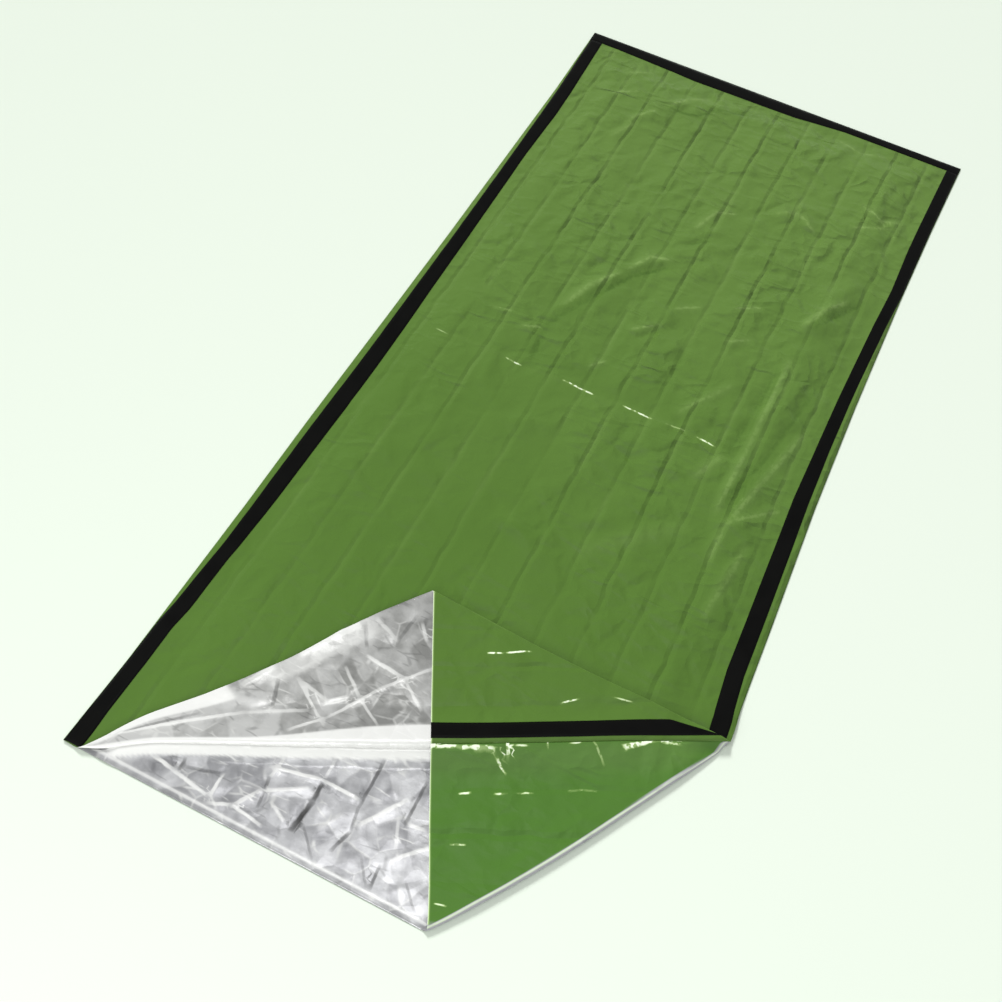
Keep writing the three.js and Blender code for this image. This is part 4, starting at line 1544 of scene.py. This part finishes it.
@dataclass
class Studio:
    """Plain pale floor, soft light, and the camera at the photograph's angle."""

    eye: Vector = field(default_factory=lambda: Vector((0.3465, -1.4473, 1.8722)))
    target: Vector = field(default_factory=lambda: Vector((-0.0644, -0.2835, 0.0)))
    roll_deg: float = 8.0
    lens_mm: float = 45.47
    floor_size: float = 40.0
    floor_z: float = -0.0004
    floor_colour: str = "#dae3d7"
    sky_colour: str = "#f8faf7"
    sky_back: float = 0.38
    sky_front: float = 0.92
    sky_fade: float = 0.6
    key_way: Vector = field(default_factory=lambda: Vector((0.5, -0.64, -0.52)))
    key_strength: float = 3.1
    key_soft_deg: float = 14.0

    def floor(self) -> None:
        """Lays a plain matt floor under the bag."""
        half = self.floor_size / 2
        ways = ((-half, -half), (half, -half), (half, half), (-half, half))
        corners = [(x, y, self.floor_z) for x, y in ways]
        mesh = bpy.data.meshes.new("floor")
        mesh.from_pydata(corners, [], [(0, 1, 2, 3)])
        floor = bpy.data.objects.new("floor", mesh)
        bpy.context.collection.objects.link(floor)
        material, tree = new_material("matt_paper_floor")
        looks = {"Base Color": linear(self.floor_colour), "Roughness": 0.95, "Specular IOR Level": 0.1}
        add(tree, "OutputMaterial", {"Surface": add(tree, "BsdfPrincipled", looks)})
        mesh.materials.append(material)

    def lamp(
        self, name: str, place: tuple[float, float, float], size: tuple[float, float], watts: float
    ) -> None:
        """Hangs a soft box that faces the middle of the bag.

        Args:
            name: Name of the lamp.
            place: Where it hangs, in metres.
            size: Its sides, in metres.
            watts: Its power.
        """
        light = bpy.data.lights.new(name, "AREA")
        light.shape = "RECTANGLE"
        light.size, light.size_y = size
        light.energy = watts
        lamp = bpy.data.objects.new(name, light)
        bpy.context.collection.objects.link(lamp)
        facing = (-Vector(place)).to_track_quat("-Z", "Y").to_matrix().to_4x4()
        lamp.matrix_world = Matrix.Translation(place) @ facing

    def key(self) -> None:
        """Sets an even soft key from the foot's left, which shapes the creases without shining in them."""
        light = bpy.data.lights.new("key", "SUN")
        light.energy = self.key_strength
        light.angle = math.radians(self.key_soft_deg)
        lamp = bpy.data.objects.new("key", light)
        bpy.context.collection.objects.link(lamp)
        lamp.visible_glossy = False
        lamp.rotation_euler = self.key_way.to_track_quat("-Z", "Y").to_euler()

    def camera(self) -> None:
        """Sets the camera: level right turned about the view by the roll, up at right angles to it."""
        forward = (self.target - self.eye).normalized()
        level = forward.cross(Vector((0, 0, 1))).normalized()
        rise = level.cross(forward)
        turn = math.radians(self.roll_deg)
        right = level * math.cos(turn) + rise * math.sin(turn)
        up = right.cross(forward)
        data = bpy.data.cameras.new("camera")
        data.sensor_width = 36.0
        data.lens = self.lens_mm
        data.clip_start = 0.01
        camera = bpy.data.objects.new("camera", data)
        bpy.context.collection.objects.link(camera)
        axes = Matrix((right, up, -forward)).transposed().to_4x4()
        camera.matrix_world = Matrix.Translation(self.eye) @ axes
        bpy.context.scene.camera = camera

    def build(self) -> None:
        """Builds the floor, the light and the camera."""
        world = bpy.data.worlds.new("studio")
        world.use_nodes = True
        tree = world.node_tree
        sky = tree.nodes["Background"]
        sky.inputs["Color"].default_value = linear(self.sky_colour)
        way = add(tree, "SeparateXYZ", (add(tree, "TexCoord").outputs["Generated"],)).outputs["Y"]
        fade = (way, -self.sky_fade, self.sky_fade, self.sky_front, self.sky_back)
        tree.links.new(add(tree, "MapRange", fade, **STEP).outputs[0], sky.inputs["Strength"])
        bpy.context.scene.world = world
        bpy.context.scene.view_settings.view_transform = "Standard"
        self.floor()
        self.key()
        self.lamp("top", (-0.1, -0.6, 3.0), (0.9, 0.9), 6)
        self.lamp("front", (-0.1, -2.8, 0.9), (1.4, 0.6), 14)
        self.camera()


def main() -> None:
    """Builds the bag's panels and tapes and the studio, and reports each piece."""
    logging.basicConfig(level=logging.INFO, format="%(name)s: %(message)s")
    fold = SquashFold()
    Studio().build()
    green = GreenFilm().make("green_polyethylene_film", rim_shading=False)
    rim_shaded_green = GreenFilm(base="#476f28", light="#4d752d").make("green_polyethylene_film_rim_shaded", rim_shading=True)
    turned = SilverFilm(base="#dcdcdb", shade="#9c9c9a", lean=2.2, level=-0.95)
    silver = turned.make("metallised_film_turned")
    inside = SilverFilm(base="#e2e2e5", shade="#a0a0a4", lean=-0.6)
    inner_silver = inside.make("metallised_film_inside")
    tape = BlackTape().make("black_polyethylene_tape")
    lower = LowerPanel(fold, "lower_film", "lower_panel", Slot.FILM_LOWER, ("floor",))
    upper = UpperPanel(fold, "upper_film", "upper_panel", Slot.FILM_UPPER, ("lower_film",))
    pieces = [lower.build(), upper.build()]
    lower.dress(pieces[0], [inner_silver, rim_shaded_green])
    upper.dress(pieces[1], [green, silver])
    for edge in Edge:
        strip = SeamTape(fold, edge, upper)
        pieces.append(strip.build())
        strip.dress(pieces[-1], tape)
    for piece in pieces:
        LOG.info("%s: %d faces on the cut", piece.name, len(piece.data.polygons))
    bpy.context.view_layer.update()


if __name__ == "__main__":
    main()
